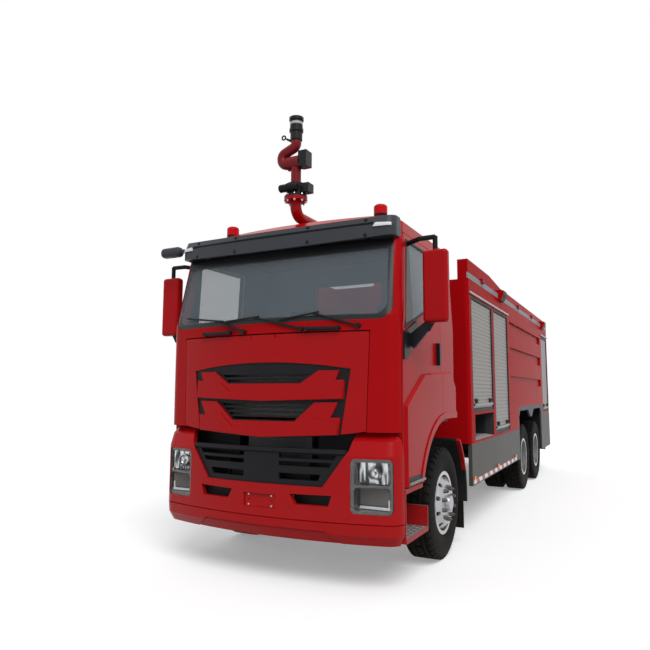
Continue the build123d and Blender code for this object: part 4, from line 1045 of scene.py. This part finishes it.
@dataclass
class WheelFace:
    """The polished disc of a front wheel, bulging outwards to the nuts, with round hand holes."""

    profile: tuple[Range, ...] = (
        (0.212, 0.0), (0.212, 0.062), (0.206, 0.072), (0.172, 0.08), (0.17, 0.1), (0.168, 0.198), (0.156, 0.214),
        (0.118, 0.25), (0.098, 0.263), (0.086, 0.263), (0.104, 0.242), (0.142, 0.206), (0.152, 0.19), (0.152, 0.0))
    holes: int = 10
    hole: float = 0.021
    hole_from: float = 0.07
    hole_depth: float = 0.12
    circle: float = 0.231

    def model(self, name: str, side: Side) -> bpy.types.Object:
        """Model the disc of one side with its holes cut.

        Args:
            name: The piece's name.
            side: The side of the truck.

        Returns:
            The disc.
        """
        y, axis = y_at(FRONT_AXLE), (side.value, 0.0, 0.0)
        disc = Bench.lathe(name, self.profile, (side.value * WHEEL_X, y, HUB_Z), axis, 64)
        inside = (side.value * (WHEEL_X + self.hole_from), y, HUB_Z)
        outline = [(0.0, 0.0), (0.0, self.hole), (self.hole_depth, self.hole), (self.hole_depth, 0.0)]
        pin = Bench.lathe("pin", outline, ORIGIN, UP, 20)
        cutter = Bench.copies(pin, ring(inside, axis, self.circle, self.holes), "pins")
        Bench.modify(disc, "BOOLEAN", object=cutter, operation="DIFFERENCE", solver="EXACT")
        bpy.data.objects.remove(cutter)
        Bench.smooth(disc, 30)
        return disc


@dataclass
class Wheels:
    """All tyres and wheel nuts, and the front wheels' faces."""

    fitter: Fitter
    tyre: TyreDress
    nuts: WheelNuts
    face: WheelFace

    def build(self) -> None:
        """Model and fit the wheels of both sides."""
        for side in Side:
            self._front(side)
            for number, station in enumerate(REAR_AXLES, 1):
                self._rear(side, number, station)

    def _front(self, side: Side) -> None:
        """Dress the front wheel of one side.

        Args:
            side: The side of the truck.
        """
        word = side.word
        body = f"wheel_front_{word}"
        tyre = self.tyre.model(f"road_tyre_front_{word}", side, FRONT_AXLE, WHEEL_X)
        self.fitter.fit(tyre, body, "tyre_rubber", "tyre_rubber", [f"tyre_front_{word}"])
        self.fitter.fit(self.face.model(f"wheel_face_front_{word}", side), body, "wheel_polish", "wheel_silver")
        nuts = self.nuts.model(f"wheel_nuts_front_{word}", side, FRONT_AXLE, self.nuts.front_seat,
                               self.nuts.front_circle)
        self.fitter.fit(nuts, body, "nut_steel", "wheel_silver")

    def _rear(self, side: Side, number: int, station: float) -> None:
        """Dress one pair of twin wheels.

        Args:
            side: The side of the truck.
            number: The axle's number, from 1.
            station: The axle's station.
        """
        axle = f"rear{number}_{side.word}"
        pair = [self.tyre.model("tyre", side, station, x) for x in (WHEEL_X, WHEEL_X - TWIN_PITCH)]
        tyres = Bench.join(pair, f"road_tyres_{axle}")
        self.fitter.fit(tyres, f"wheel_{axle}", "tyre_rubber", "tyre_rubber", [f"tyres_{axle}"])
        nuts = self.nuts.model(f"wheel_nuts_{axle}", side, station, self.nuts.rear_seat, self.nuts.rear_circle)
        self.fitter.fit(nuts, f"wheel_{axle}", "nut_steel", "wheel_silver")


@dataclass
class Tape:
    """Red and white marking tape along the lower edge of the body."""

    fitter: Fitter
    runs: tuple[Range, ...] = ((2.6, 4.93), (4.98, 5.42))
    heights: Range = (0.575, 0.625)
    thick: float = 0.0015

    def build(self) -> None:
        """Lay the tape on both skirts."""
        across = (BODY_X, BODY_X + self.thick)
        for side in Side:
            strips = [Bench.block("tape", *mirrored(side, (across, run, self.heights)), 0.0005, 1)
                      for run in self.runs]
            self.fitter.fit(Bench.join(strips, f"marking_tape_{side.word}"), "truck", "tape", "paint_grey")


@dataclass
class Seats:
    """Two padded seats, each a cushion, a back and a head rest."""

    fitter: Fitter
    pads: tuple[tuple[str, Box], ...] = (
        ("cushion", ((-0.245, 0.245), (1.13, 1.59), (1.695, 1.805))),
        ("back", ((-0.235, 0.235), (1.6, 1.705), (1.84, 2.42))),
        ("head_rest", ((-0.13, 0.13), (1.625, 1.7), (2.45, 2.605))))
    seat_x: float = 0.56
    rounding: float = 0.035
    voxel: float = 0.009
    pressure: float = 4.0
    frames: int = 20
    cap: float = 0.02
    seam_share: float = 0.48
    seam_half: float = 0.016
    seam_depth: float = 0.009
    fill: float = 0.7

    def build(self) -> None:
        """Model each pad once, swell it, sew it and set a copy in both seats."""
        for word, box in self.pads:
            pad = Bench.block(f"seat_{word}", *mirrored(Side.LEFT, box), self.rounding, 4)
            self._swell(pad)
            self._sew(pad, box[0][1])
            Bench.smooth(pad, 60)
            for side in Side:
                twin = pad.copy()
                twin.data = pad.data.copy()
                twin.data.transform(Matrix.Translation((side.value * self.seat_x, 0, 0)))
                bpy.context.scene.collection.objects.link(twin)
                twin.name = f"seat_{word}_{side.word}"
                self.fitter.fit(twin, "truck", "seat_cloth", "seat_cloth", ["seats"])
            bpy.data.objects.remove(pad)

    def _swell(self, pad: bpy.types.Object) -> None:
        """Blow the pad up as cloth, with a limit on how far a point moves.

        Args:
            pad: The pad, as a rounded block.
        """
        Bench.take(pad)
        pad.data.remesh_voxel_size = self.voxel
        bpy.ops.object.voxel_remesh()
        rest = [v.co.copy() for v in pad.data.vertices]
        cloth = pad.modifiers.new("cloth", "CLOTH")
        cloth.settings.use_pressure = True
        cloth.settings.uniform_pressure_force = self.pressure
        cloth.settings.effector_weights.gravity = 0.0
        for step in range(1, self.frames + 1):
            bpy.context.scene.frame_set(step)
        Bench.take(pad)
        bpy.ops.object.modifier_apply(modifier=cloth.name)
        for vertex, start in zip(pad.data.vertices, rest):
            move = vertex.co - start
            if move.length > self.cap:
                vertex.co = start + move * (self.cap / move.length)
        bpy.context.scene.frame_set(1)

    def _sew(self, pad: bpy.types.Object, reach: float) -> None:
        """Press two sewn channels into the pad.

        Args:
            pad: The swelled pad.
            reach: Half the pad's width.
        """
        for vertex in pad.data.vertices:
            for seam in (-self.seam_share * reach, self.seam_share * reach):
                gap = abs(vertex.co.x - seam)
                if gap < self.seam_half:
                    vertex.co -= vertex.normal * self.seam_depth * (1 - gap / self.seam_half)


@dataclass
class DoorTrim:
    """Window seals and mirror glasses on the doors."""

    fitter: Fitter
    window: tuple[Range, ...] = ((0.355, 2.185), (0.905, 2.372), (1.345, 2.372), (1.345, 3.008), (0.515, 3.008))
    seal_x: float = 1.2335
    seal_lean: float = 0.0529
    seal_width: float = 0.02
    seal_thick: float = 0.008
    glass: Box = ((1.386, 1.574), (0.517, 0.523), (2.255, 2.848))
    glass_edge: float = 0.012
    glass_sink: float = 0.002

    def build(self) -> None:
        """Model and fit the seal and the glass of both doors."""
        for side in Side:
            points = [(side.value * (self.seal_x - self.seal_lean * max(z - WAIST_Z, 0.0)), y_at(station), z)
                      for station, z in self.window]
            seal = Bench.seal(f"window_seal_{side.word}", points, self.seal_width, self.seal_thick)
            self.fitter.fit(seal, f"door_{side.word}", "black_plastic", "black_plastic")
            glass = Bench.block(f"mirror_glass_{side.word}", *mirrored(side, self.glass))
            Bench.shape(glass, lambda c, n: n.y > FACING)
            bpy.ops.mesh.inset(thickness=self.glass_edge)
            Bench.push((0, -self.glass_sink, 0))
            Bench.done()
            self.fitter.fit(glass, f"door_{side.word}", "mirror_glass", "lamp_chrome")


@dataclass
class FrontLamps:
    """Faceted reflectors with a bulb shield above, frosted panes and light strips below."""

    fitter: Fitter
    lamp_x: float = 1.01
    half: float = 0.138
    upper_z: float = 0.968
    facets: int = 11
    facet_station: float = 0.209
    facet_half: tuple[float, float] = (0.002, 0.086)
    facet_turn: float = 24.0
    bowl_station: float = 0.214
    bowl: tuple[Range, ...] = (
        (0.0, 0.018), (0.008, 0.034), (0.022, 0.048), (0.036, 0.055), (0.036, 0.06), (0.0, 0.064))
    shield: tuple[Range, ...] = ((0.004, 0.017), (0.03, 0.017), (0.038, 0.012), (0.04, 0.001))
    pane: tuple[Range, Range] = ((0.203, 0.222), (0.706, 0.85))
    strip: tuple[Range, Range] = ((0.196, 0.223), (0.674, 0.697))
    riser: tuple[Range, Range] = ((0.199, 0.223), (0.69, 0.76))
    riser_in: Range = (0.02, 0.004)

    def build(self) -> None:
        """Model and fit both headlamps' insides."""
        mirrors, panes, strips = [], [], []
        inner, outer = self.lamp_x - self.half, self.lamp_x + self.half
        upright = (outer - self.riser_in[0], outer - self.riser_in[1])
        for side in Side:
            mirrors += self._reflector(side.value * self.lamp_x)
            panes.append(Bench.block("pane", *mirrored(side, ((inner, outer), *self.pane)), 0.006))
            strips.append(Bench.block("strip", *mirrored(side, ((inner, outer), *self.strip)), 0.005))
            strips.append(Bench.block("riser", *mirrored(side, (upright, *self.riser)), 0.004))
        self._finish(mirrors, "lamp_reflectors", "lamp_mirror", "lamp_chrome")
        self._finish(panes, "lamp_panes", "lamp_frost", "lamp_clear")
        self._finish(strips, "lamp_strips", "lamp_white", "lamp_clear")

    def _reflector(self, x: float) -> list[bpy.types.Object]:
        """Model the reflector of one lamp.

        Args:
            x: The lamp's middle.

        Returns:
            The upright facets, the bowl and the bulb shield.
        """
        wide = 2 * self.half / self.facets
        thick, tall = self.facet_half
        made = []
        for step in range(self.facets):
            spot = Vector((x - self.half + wide * (step + 0.5), y_at(self.facet_station), self.upper_z))
            facet = Bench.block("facet", (-wide / 2, -thick, -tall), (wide / 2, thick, tall))
            turn = math.radians(self.facet_turn * math.sin(2.3 * step + 0.6))
            facet.data.transform(Matrix.Translation(spot) @ Matrix.Rotation(turn, 4, "Z"))
            made.append(facet)
        spot = (x, y_at(self.bowl_station), self.upper_z)
        made.append(Bench.lathe("bowl", self.bowl, spot, AHEAD, 18))
        made.append(Bench.lathe("shield", self.shield, spot, AHEAD, 16))
        return made

    def _finish(self, pieces: list[bpy.types.Object], name: str, finish: str, slot: str) -> None:
        """Join one kind of piece and fit it.

        Args:
            pieces: The pieces of both lamps.
            name: The joined piece's name.
            finish: The finish that it shows.
            slot: The record's material slot.
        """
        piece = Bench.join(pieces, name)
        Bench.smooth(piece, 22)
        self.fitter.fit(piece, "truck", finish, slot)


@dataclass
class Fasteners:
    """Bolts on the plate recess, the monitor and the roof, and the visor's caps and a black strip of painted shade
    along its crease.
    """

    fitter: Fitter
    plate_bolt: Bolt = Bolt(0.016, 0.006, 0.002)
    plate_station: float = 0.0202
    plate_x: Range = (-0.118, 0.118)
    plate_z: Range = (0.655, 0.742)
    cap: tuple[Range, ...] = ((-0.004, 0.017), (0.004, 0.017), (0.008, 0.012), (0.009, 0.001))
    cap_x: tuple[float, ...] = (-0.93, -0.4, 0.4, 0.93)
    cap_rows: tuple[Point, ...] = ((2.975, 0.03, 0.0), (3.112, 0.034, 0.4))
    front_radius: float = 4.2
    visor_station: float = 0.099
    visor_bow: float = 8.2
    visor_bend: float = 3.09
    visor_slope: float = 0.41
    # a black strip along the visor's crease, painted shade
    seam_z: float = 3.082
    seam_rise: float = 0.034
    seam_drop: float = 0.014
    seam_thick: float = 0.008
    flange_bolt: Bolt = Bolt(0.02, 0.012, 0.003)
    flange_circle: float = 0.103
    flanges: tuple[tuple[str, str, float, float, int], ...] = (
        ("flange_bolts", "monitor_swivel", 0.59, 3.6043, 1), ("flange_nuts", "truck", 0.59, 3.556, -1),
        ("pipe_foot_bolts", "truck", 2.76, 3.01, 1))
    hatch_bolt: Bolt = Bolt(0.022, 0.012, 0.003)
    hatch_circle: float = 0.262
    hatch_top: float = 3.085
    hatches: Range = (6.1, 7.5)

    def build(self) -> None:
        """Model and fit each group of fasteners."""
        plate = [standing((x, y_at(self.plate_station), z), AHEAD) for x in self.plate_x for z in self.plate_z]
        self._group("plate_bolts", self.plate_bolt, plate, "truck")
        self._visor()
        for name, body, station, z, up in self.flanges:
            places = ring((0.0, y_at(station), z), (0, 0, up), self.flange_circle, 8)
            self._group(name, self.flange_bolt, places, body)
        hatch = [place for station in self.hatches
                 for place in ring((0.0, y_at(station), self.hatch_top), UP, self.hatch_circle, 12, 0.0)]
        self._group("hatch_bolts", self.hatch_bolt, hatch, "truck")

    def _front(self, x: float, z: float = 0.0) -> float:
        """Return the Y of the visor's bowed front, which slopes back above its bend."""
        return y_at(self.visor_station + x * x / self.visor_bow + max(z - self.visor_bend, 0.0) * self.visor_slope)

    def _visor(self) -> None:
        """Set two rows of caps on the visor, and a black strip of painted shade along its crease."""
        caps = []
        for x in self.cap_x:
            for middle, rise, slope in self.cap_rows:
                z = middle + rise * x * x
                caps.append(standing((x, self._front(x, z), z), (x / self.front_radius, -1, slope)))
        cap = Bench.lathe("cap", self.cap, ORIGIN, UP, 12)
        self.fitter.fit(Bench.copies(cap, caps, "visor_caps"), "truck", "black_plastic", "black_plastic")
        # Painted shade: a thin black strip stands for the dark line of the visor's crease.
        line = [(x, self._front(x), self.seam_z + self.seam_rise * x * x)
                for x in (step / 10 - 1 for step in range(21))]
        seam = Bench.strip("visor_seam", line, self.seam_drop, self.seam_thick)
        self.fitter.fit(seam, "truck", "guide_black", "black_plastic")

    def _group(self, name: str, bolt: Bolt, places: list[Matrix], body: str) -> None:
        """Copy one bolt to its places and fit the group.

        Args:
            name: The group's name.
            bolt: The bolt to copy.
            places: The place of each copy.
            body: The CAD body that carries the group.
        """
        self.fitter.fit(Bench.copies(bolt.model(), places, name), body, "bolt_steel", "lamp_chrome")


@dataclass
class ShutterLatches:
    """Black latch blocks with a finger pull on each side shutter."""

    fitter: Fitter
    bays: tuple[Point, ...] = ((2.65, 3.825, 1.475), (3.925, 4.95, 1.145), (8.63, 9.53, 1.305))
    curtain_x: float = 1.236
    inset: float = 0.2
    lift: float = 0.03
    latch: tuple[Point, Point] = ((0.0, -0.045, 0.0), (0.02, 0.045, 0.055))
    rounding: float = 0.006
    pull_edge: float = 0.012
    pull_depth: float = 0.008

    def build(self) -> None:
        """Model one latch and set two on each shutter."""
        latch = Bench.block("latch", *self.latch, self.rounding)
        Bench.shape(latch, lambda c, n: n.x > FACING and abs(c.y) < 0.02)
        bpy.ops.mesh.inset(thickness=self.pull_edge, depth=-self.pull_depth)
        Bench.done()
        places = []
        for side in Side:
            for start, end, z in self.bays:
                for station in (start + self.inset, end - self.inset):
                    spot = (side.value * self.curtain_x, y_at(station), z + self.lift)
                    places.append(Matrix.Translation(spot) @ side.flip)
        latches = Bench.copies(latch, places, "shutter_latches")
        Bench.smooth(latches)
        self.fitter.fit(latches, "truck", "black_plastic", "guide_black")


@dataclass
class CabTrim:
    """Black sheets of painted shade behind the front openings, mud flaps, mirror arm mouldings and the door's step
    slots with their painted shade.
    """

    fitter: Fitter
    # black sheets that paint the shade behind the front openings
    sheets: tuple[Box, ...] = (((0.27, 0.71), (0.135, 0.143), (0.66, 0.8)),
                               ((0.655, 0.663), (0.31, 1.86), (1.2, 1.416)))
    flap: Box = ((0.93, 1.236), (2.152, 2.16), (0.17, 0.46))
    flap_ribs: int = 5
    flap_rib_x: float = 0.97
    flap_rib_pitch: float = 0.056
    flap_rib: tuple[Range, Range] = ((2.148, 2.154), (0.19, 0.43))
    arm: Point = (1.232, 0.476, 2.06)
    arm_turn: float = -40.0
    cover: tuple[Point, Point] = ((0.0, -0.026, -0.062), (0.3, 0.026, 0.062))
    cover_rounding: float = 0.014
    cover_taper: Point = (1.0, 0.75, 0.5)
    cover_end: Point = (0.29, 0.0, 0.03)
    # the toe slot: a black block of painted shade
    slot: Box = ((BODY_X - 0.01, BODY_X + 0.003), (0.38, 0.77), (0.885, 0.925))
    lip: Box = ((BODY_X - 0.01, BODY_X + 0.016), (0.375, 0.775), (0.862, 0.884))
    lip_ribs: int = 19
    lip_rib_from: float = 0.39
    lip_rib_pitch: float = 0.0205
    lip_rib_half: float = 0.003
    lip_rib: tuple[Range, Range] = ((BODY_X + 0.004, BODY_X + 0.013), (0.882, 0.887))

    def build(self) -> None:
        """Model and fit each kind of trim."""
        self._sheets()
        self._flaps()
        for side in Side:
            self._moulding(side)
            self._slot(side)

    def _sheets(self) -> None:
        """Close the lamp pockets of the bumper and the sides of the engine's bay with black sheets of painted shade.
        """
        sheets = [Bench.block("sheet", *mirrored(side, box), 0.002, 1) for side in Side for box in self.sheets]
        self.fitter.fit(Bench.join(sheets, "splash_sheets"), "truck", "chassis_black", "chassis_black")

    def _flaps(self) -> None:
        """Hang a ribbed rubber flap behind each front wheel."""
        flaps = []
        for side in Side:
            flaps.append(Bench.block("flap", *mirrored(side, self.flap), 0.003, 1))
            for rib in range(self.flap_ribs):
                x = self.flap_rib_x + self.flap_rib_pitch * rib
                flaps.append(Bench.block("rib", *mirrored(side, ((x - 0.006, x + 0.006), *self.flap_rib)), 0.002, 1))
        self.fitter.fit(Bench.join(flaps, "mud_flaps"), "truck", "tyre_rubber", "tyre_rubber")

    def _moulding(self, side: Side) -> None:
        """Cover the lower mirror arm with a moulding that tapers to the mirror.

        Args:
            side: The side of the truck.
        """
        cover = Bench.block(f"mirror_arm_cover_{side.word}", *self.cover, self.cover_rounding, 3)
        Bench.shape(cover, lambda c, n: c.x > 0.2)
        bpy.ops.transform.resize(value=self.cover_taper, center_override=self.cover_end)
        Bench.done()
        x, station, z = self.arm
        turn = Matrix.Rotation(math.radians(self.arm_turn), 4, "Y")
        cover.data.transform(side.flip @ Matrix.Translation((x, y_at(station), z)) @ turn)
        if side is Side.RIGHT:
            cover.data.flip_normals()
        Bench.smooth(cover, 50)
        self.fitter.fit(cover, f"door_{side.word}", "black_plastic", "black_plastic")

    def _slot(self, side: Side) -> None:
        """Set a black block of painted shade for a toe slot, with a ribbed grey lip, low in the door.

        Args:
            side: The side of the truck.
        """
        # Painted shade: a black block stands for the shade inside the toe slot.
        slot = Bench.block(f"toe_slot_{side.word}", *mirrored(side, self.slot), 0.002, 1)
        self.fitter.fit(slot, f"door_{side.word}", "black_plastic", "black_plastic")
        lips = [Bench.block("lip", *mirrored(side, self.lip), 0.004)]
        across, heights = self.lip_rib
        for step in range(self.lip_ribs):
            station = self.lip_rib_from + self.lip_rib_pitch * step
            along = (station - self.lip_rib_half, station + self.lip_rib_half)
            lips.append(Bench.block("rib", *mirrored(side, (across, along, heights)), 0.001, 1))
        self.fitter.fit(Bench.join(lips, f"toe_lip_{side.word}"), f"door_{side.word}", "tread_grey", "paint_grey")


@dataclass
class RearTrim:
    """Marking tape round the rear edges and a blank plate in its frame."""

    fitter: Fitter
    face: float = 9.58
    sink: float = 0.001
    tape_thick: float = 0.0015
    tapes: tuple[tuple[Range, Range], ...] = (((1.16, 1.21), (1.32, 2.86)), ((0.68, 1.21), (1.232, 1.282)))
    plate: tuple[Range, Range] = ((-0.29, 0.29), (0.93, 1.1))
    plate_thick: float = 0.012
    plate_edge: float = 0.014
    plate_sink: float = 0.006

    def build(self) -> None:
        """Model and fit the trim of the rear face."""
        back = self.face - self.sink
        tapes = [Bench.block("tape", *mirrored(side, (xs, (back, self.face + self.tape_thick), zs)), 0.0006, 1)
                 for side in Side for xs, zs in self.tapes]
        self.fitter.fit(Bench.join(tapes, "rear_tape"), "truck", "tape", "lamp_red")
        xs, zs = self.plate
        box = (xs, (back, self.face + self.plate_thick), zs)
        plate = Bench.block("blank_plate", *mirrored(Side.LEFT, box), 0.004)
        Bench.shape(plate, lambda c, n: n.y > FACING)
        bpy.ops.mesh.inset(thickness=self.plate_edge, depth=-self.plate_sink)
        Bench.done()
        self.fitter.fit(plate, "truck", "rail_pale", "shutter_metal")


@dataclass
class DripRails:
    """A pale rail with a turned-up lip over the side shutters."""

    fitter: Fitter
    runs: tuple[Range, ...] = ((2.54, 5.0), (8.57, 9.58))
    shelf: tuple[Range, Range] = ((BODY_X, BODY_X + 0.016), (2.822, 2.828))
    lip: tuple[Range, Range] = ((BODY_X + 0.016, BODY_X + 0.02), (2.822, 2.844))

    def build(self) -> None:
        """Model and fit the rails of both sides."""
        rails = [Bench.block("rail", *mirrored(side, (across, run, heights)), 0.0015, 1)
                 for side in Side for run in self.runs for across, heights in (self.shelf, self.lip)]
        self.fitter.fit(Bench.join(rails, "drip_rails"), "truck", "rail_pale", "shutter_metal")


@dataclass
class MonitorGear:
    """The turning motor with its ribs and the nozzle's setting lever with a ring."""

    fitter: Fitter
    station: float = 0.59
    motor_ahead: float = 0.105
    motor_z: float = 3.672
    motor: tuple[Range, ...] = (
        (-0.125, 0.001), (-0.125, 0.034), (-0.118, 0.04), (-0.04, 0.04), (-0.036, 0.046), (-0.026, 0.046),
        (-0.022, 0.04), (0.012, 0.04), (0.016, 0.046), (0.026, 0.046), (0.03, 0.04), (0.07, 0.04), (0.078, 0.034),
        (0.078, 0.001))
    stem: tuple[Range, ...] = ((0.0, 0.001), (0.0, 0.016), (0.02, 0.013), (0.075, 0.011), (0.09, 0.001))
    foot_half: float = 0.03
    foot_depth: float = 0.06
    foot_z: Range = (3.64, 3.704)
    stem_x: float = -0.045
    stem_z: float = 4.195
    stem_axis: Point = (-0.85, -0.1, 0.5)
    ring: Range = (0.021, 0.008)
    ring_x: float = -0.143
    ring_ahead: float = 0.011
    ring_z: float = 4.252

    def build(self) -> None:
        """Model the motor on the swivel and the lever on the barrel."""
        y = y_at(self.station)
        front = y - self.motor_ahead
        motor = Bench.lathe("motor", self.motor, (0, front, self.motor_z), (1, 0, 0), 28)
        low, high = self.foot_z
        foot = Bench.block("foot", (-self.foot_half, front, low),
                           (self.foot_half, front + self.foot_depth, high), 0.006)
        self._fit([motor, foot], "turning_motor", "monitor_swivel")
        stem = Bench.lathe("stem", self.stem, (self.stem_x, y, self.stem_z), self.stem_axis, 14)
        Bench.clear()
        wide, thick = self.ring
        bpy.ops.mesh.primitive_torus_add(major_radius=wide, minor_radius=thick, major_segments=24, minor_segments=8,
                                         location=(self.ring_x, y - self.ring_ahead, self.ring_z),
                                         rotation=(math.radians(90), 0, 0))
        self._fit([stem, Bench.named("ring")], "nozzle_lever", "monitor_barrel")

    def _fit(self, pieces: list[bpy.types.Object], name: str, body: str) -> None:
        """Join the pieces of one fitting and fit it.

        Args:
            pieces: The pieces to join.
            name: The fitting's name.
            body: The CAD body that carries it.
        """
        whole = Bench.join(pieces, name)
        Bench.smooth(whole, 40)
        self.fitter.fit(whole, body, "black_plastic", "monitor_black")


@dataclass
class StepTreads:
    """Raised lozenges on the treads of the cab steps."""

    fitter: Fitter
    treads: tuple[tuple[float, float, Range], ...] = ((0.44, 0.86, (1.02, 1.24)), (0.838, 0.75, (1.02, 1.23)))
    lozenge: tuple[Point, Point] = ((-0.017, -0.0045, 0.0), (0.017, 0.0045, 0.003))
    rounding: float = 0.0015
    rows: int = 5
    front: float = 0.335
    first: float = 0.345
    pitch: float = 0.042

    def build(self) -> None:
        """Model one lozenge and spread it over the treads of both sides."""
        bar = Bench.block("lozenge", *self.lozenge, self.rounding, 1)
        places = []
        for side in Side:
            for z, end, (near, far) in self.treads:
                for row in range(self.rows):
                    x = side.value * (near + (far - near) * (row + 0.5) / self.rows)
                    for column in range(int((end - self.front) / self.pitch)):
                        spot = (x, y_at(self.first + self.pitch * column), z)
                        turn = math.radians(45 if (row + column) % 2 else -45)
                        places.append(Matrix.Translation(spot) @ Matrix.Rotation(turn, 4, "Z"))
        self.fitter.fit(Bench.copies(bar, places, "step_lozenges"), "truck", "bolt_steel", "paint_grey")


@dataclass
class Stage:
    """The camera, the light and the pale floor."""

    place: Point = (2.957, -9.279, 1.645)
    heading: float = 27.51
    rise: float = 6.38
    roll: float = 0.16
    lens: float = 32.78
    sky: float = 0.55
    sky_colour: Colour = (0.94, 0.97, 1.0)
    sun: float = 1.8
    sun_width: float = 35.0
    sun_turn: Point = (38.0, 18.0, 20.0)
    floor_reach: float = 60.0
    floor_seen: Colour = (0.86, 0.86, 0.86)
    floor_bounce: Colour = (0.4, 0.4, 0.4)
    floor_lift: Colour = (0.28, 0.28, 0.28)

    def build(self) -> None:
        """Set the camera, the world, the sun and the floor."""
        self._camera()
        self._sky()
        self._sun()
        self._floor()

    def _camera(self) -> None:
        """Place the camera at the photograph's viewpoint."""
        camera = bpy.data.cameras.new("camera")
        camera.lens = self.lens
        camera.sensor_width = 36.0
        camera.clip_end = 300.0
        holder = bpy.data.objects.new("camera", camera)
        bpy.context.scene.collection.objects.link(holder)
        turn, rise = math.radians(self.heading), math.radians(self.rise)
        ahead = Vector((-math.sin(turn) * math.cos(rise), math.cos(turn) * math.cos(rise), math.sin(rise)))
        look = ahead.to_track_quat("-Z", "Y").to_matrix().to_4x4()
        roll = Matrix.Rotation(math.radians(self.roll), 4, "Z")
        holder.matrix_world = Matrix.Translation(self.place) @ look @ roll
        bpy.context.scene.camera = holder

    def _sky(self) -> None:
        """Light from all round, with a white background for what looks at it."""
        world = bpy.data.worlds.new("studio")
        bpy.context.scene.world = world
        world.use_nodes = True
        tree = Tree(world.node_tree)
        light, white = (tree.node("ShaderNodeBackground", {}, {"Color": (*colour, 1.0), "Strength": strength})
                        for colour, strength in ((self.sky_colour, self.sky), (WHITE, 1.0)))
        mix = tree.node("ShaderNodeMixShader", {}, {0: tree.seen(), 1: light, 2: white})
        tree.node("ShaderNodeOutputWorld", {}, {"Surface": mix})

    def _sun(self) -> None:
        """Add one broad soft lamp high on the driver's side."""
        lamp = bpy.data.lights.new("soft_lamp", "SUN")
        lamp.energy = self.sun
        lamp.angle = math.radians(self.sun_width)
        holder = bpy.data.objects.new("soft_lamp", lamp)
        bpy.context.scene.collection.objects.link(holder)
        holder.rotation_euler = [math.radians(angle) for angle in self.sun_turn]

    def _floor(self) -> None:
        """Lay a wide floor, pale where it is seen and darker for bounced light."""
        Bench.clear()
        bpy.ops.mesh.primitive_circle_add(vertices=96, radius=self.floor_reach, fill_type="NGON")
        floor = Bench.named("floor")
        s = Shader("floor_pale")
        seen = s.seen()
        floor.data.materials.append(s.surface({
            "Base Color": s.blend(seen, self.floor_bounce, self.floor_seen),
            "Roughness": 0.9,
            "Specular IOR Level": 0.1,
            "Emission Color": s.blend(seen, (0.0, 0.0, 0.0), self.floor_lift),
            "Emission Strength": 1.0,
        }))


def main() -> None:
    """Dress the truck and set the stage."""
    logging.basicConfig(level=logging.INFO, format="%(message)s")
    bpy.context.scene.view_settings.view_transform = "Standard"
    paint = Paintshop()
    paint.coat_nodes()
    fitter = Fitter(paint)
    Wheels(fitter, TyreDress(), WheelNuts(), WheelFace()).build()
    for trim in (Tape, Seats, DoorTrim, FrontLamps, Fasteners, ShutterLatches, StepTreads, CabTrim, RearTrim,
                 DripRails, MonitorGear):
        trim(fitter).build()
    Stage().build()
    LOG.info("%d pieces fitted", fitter.count)


if __name__ == "__main__":
    main()
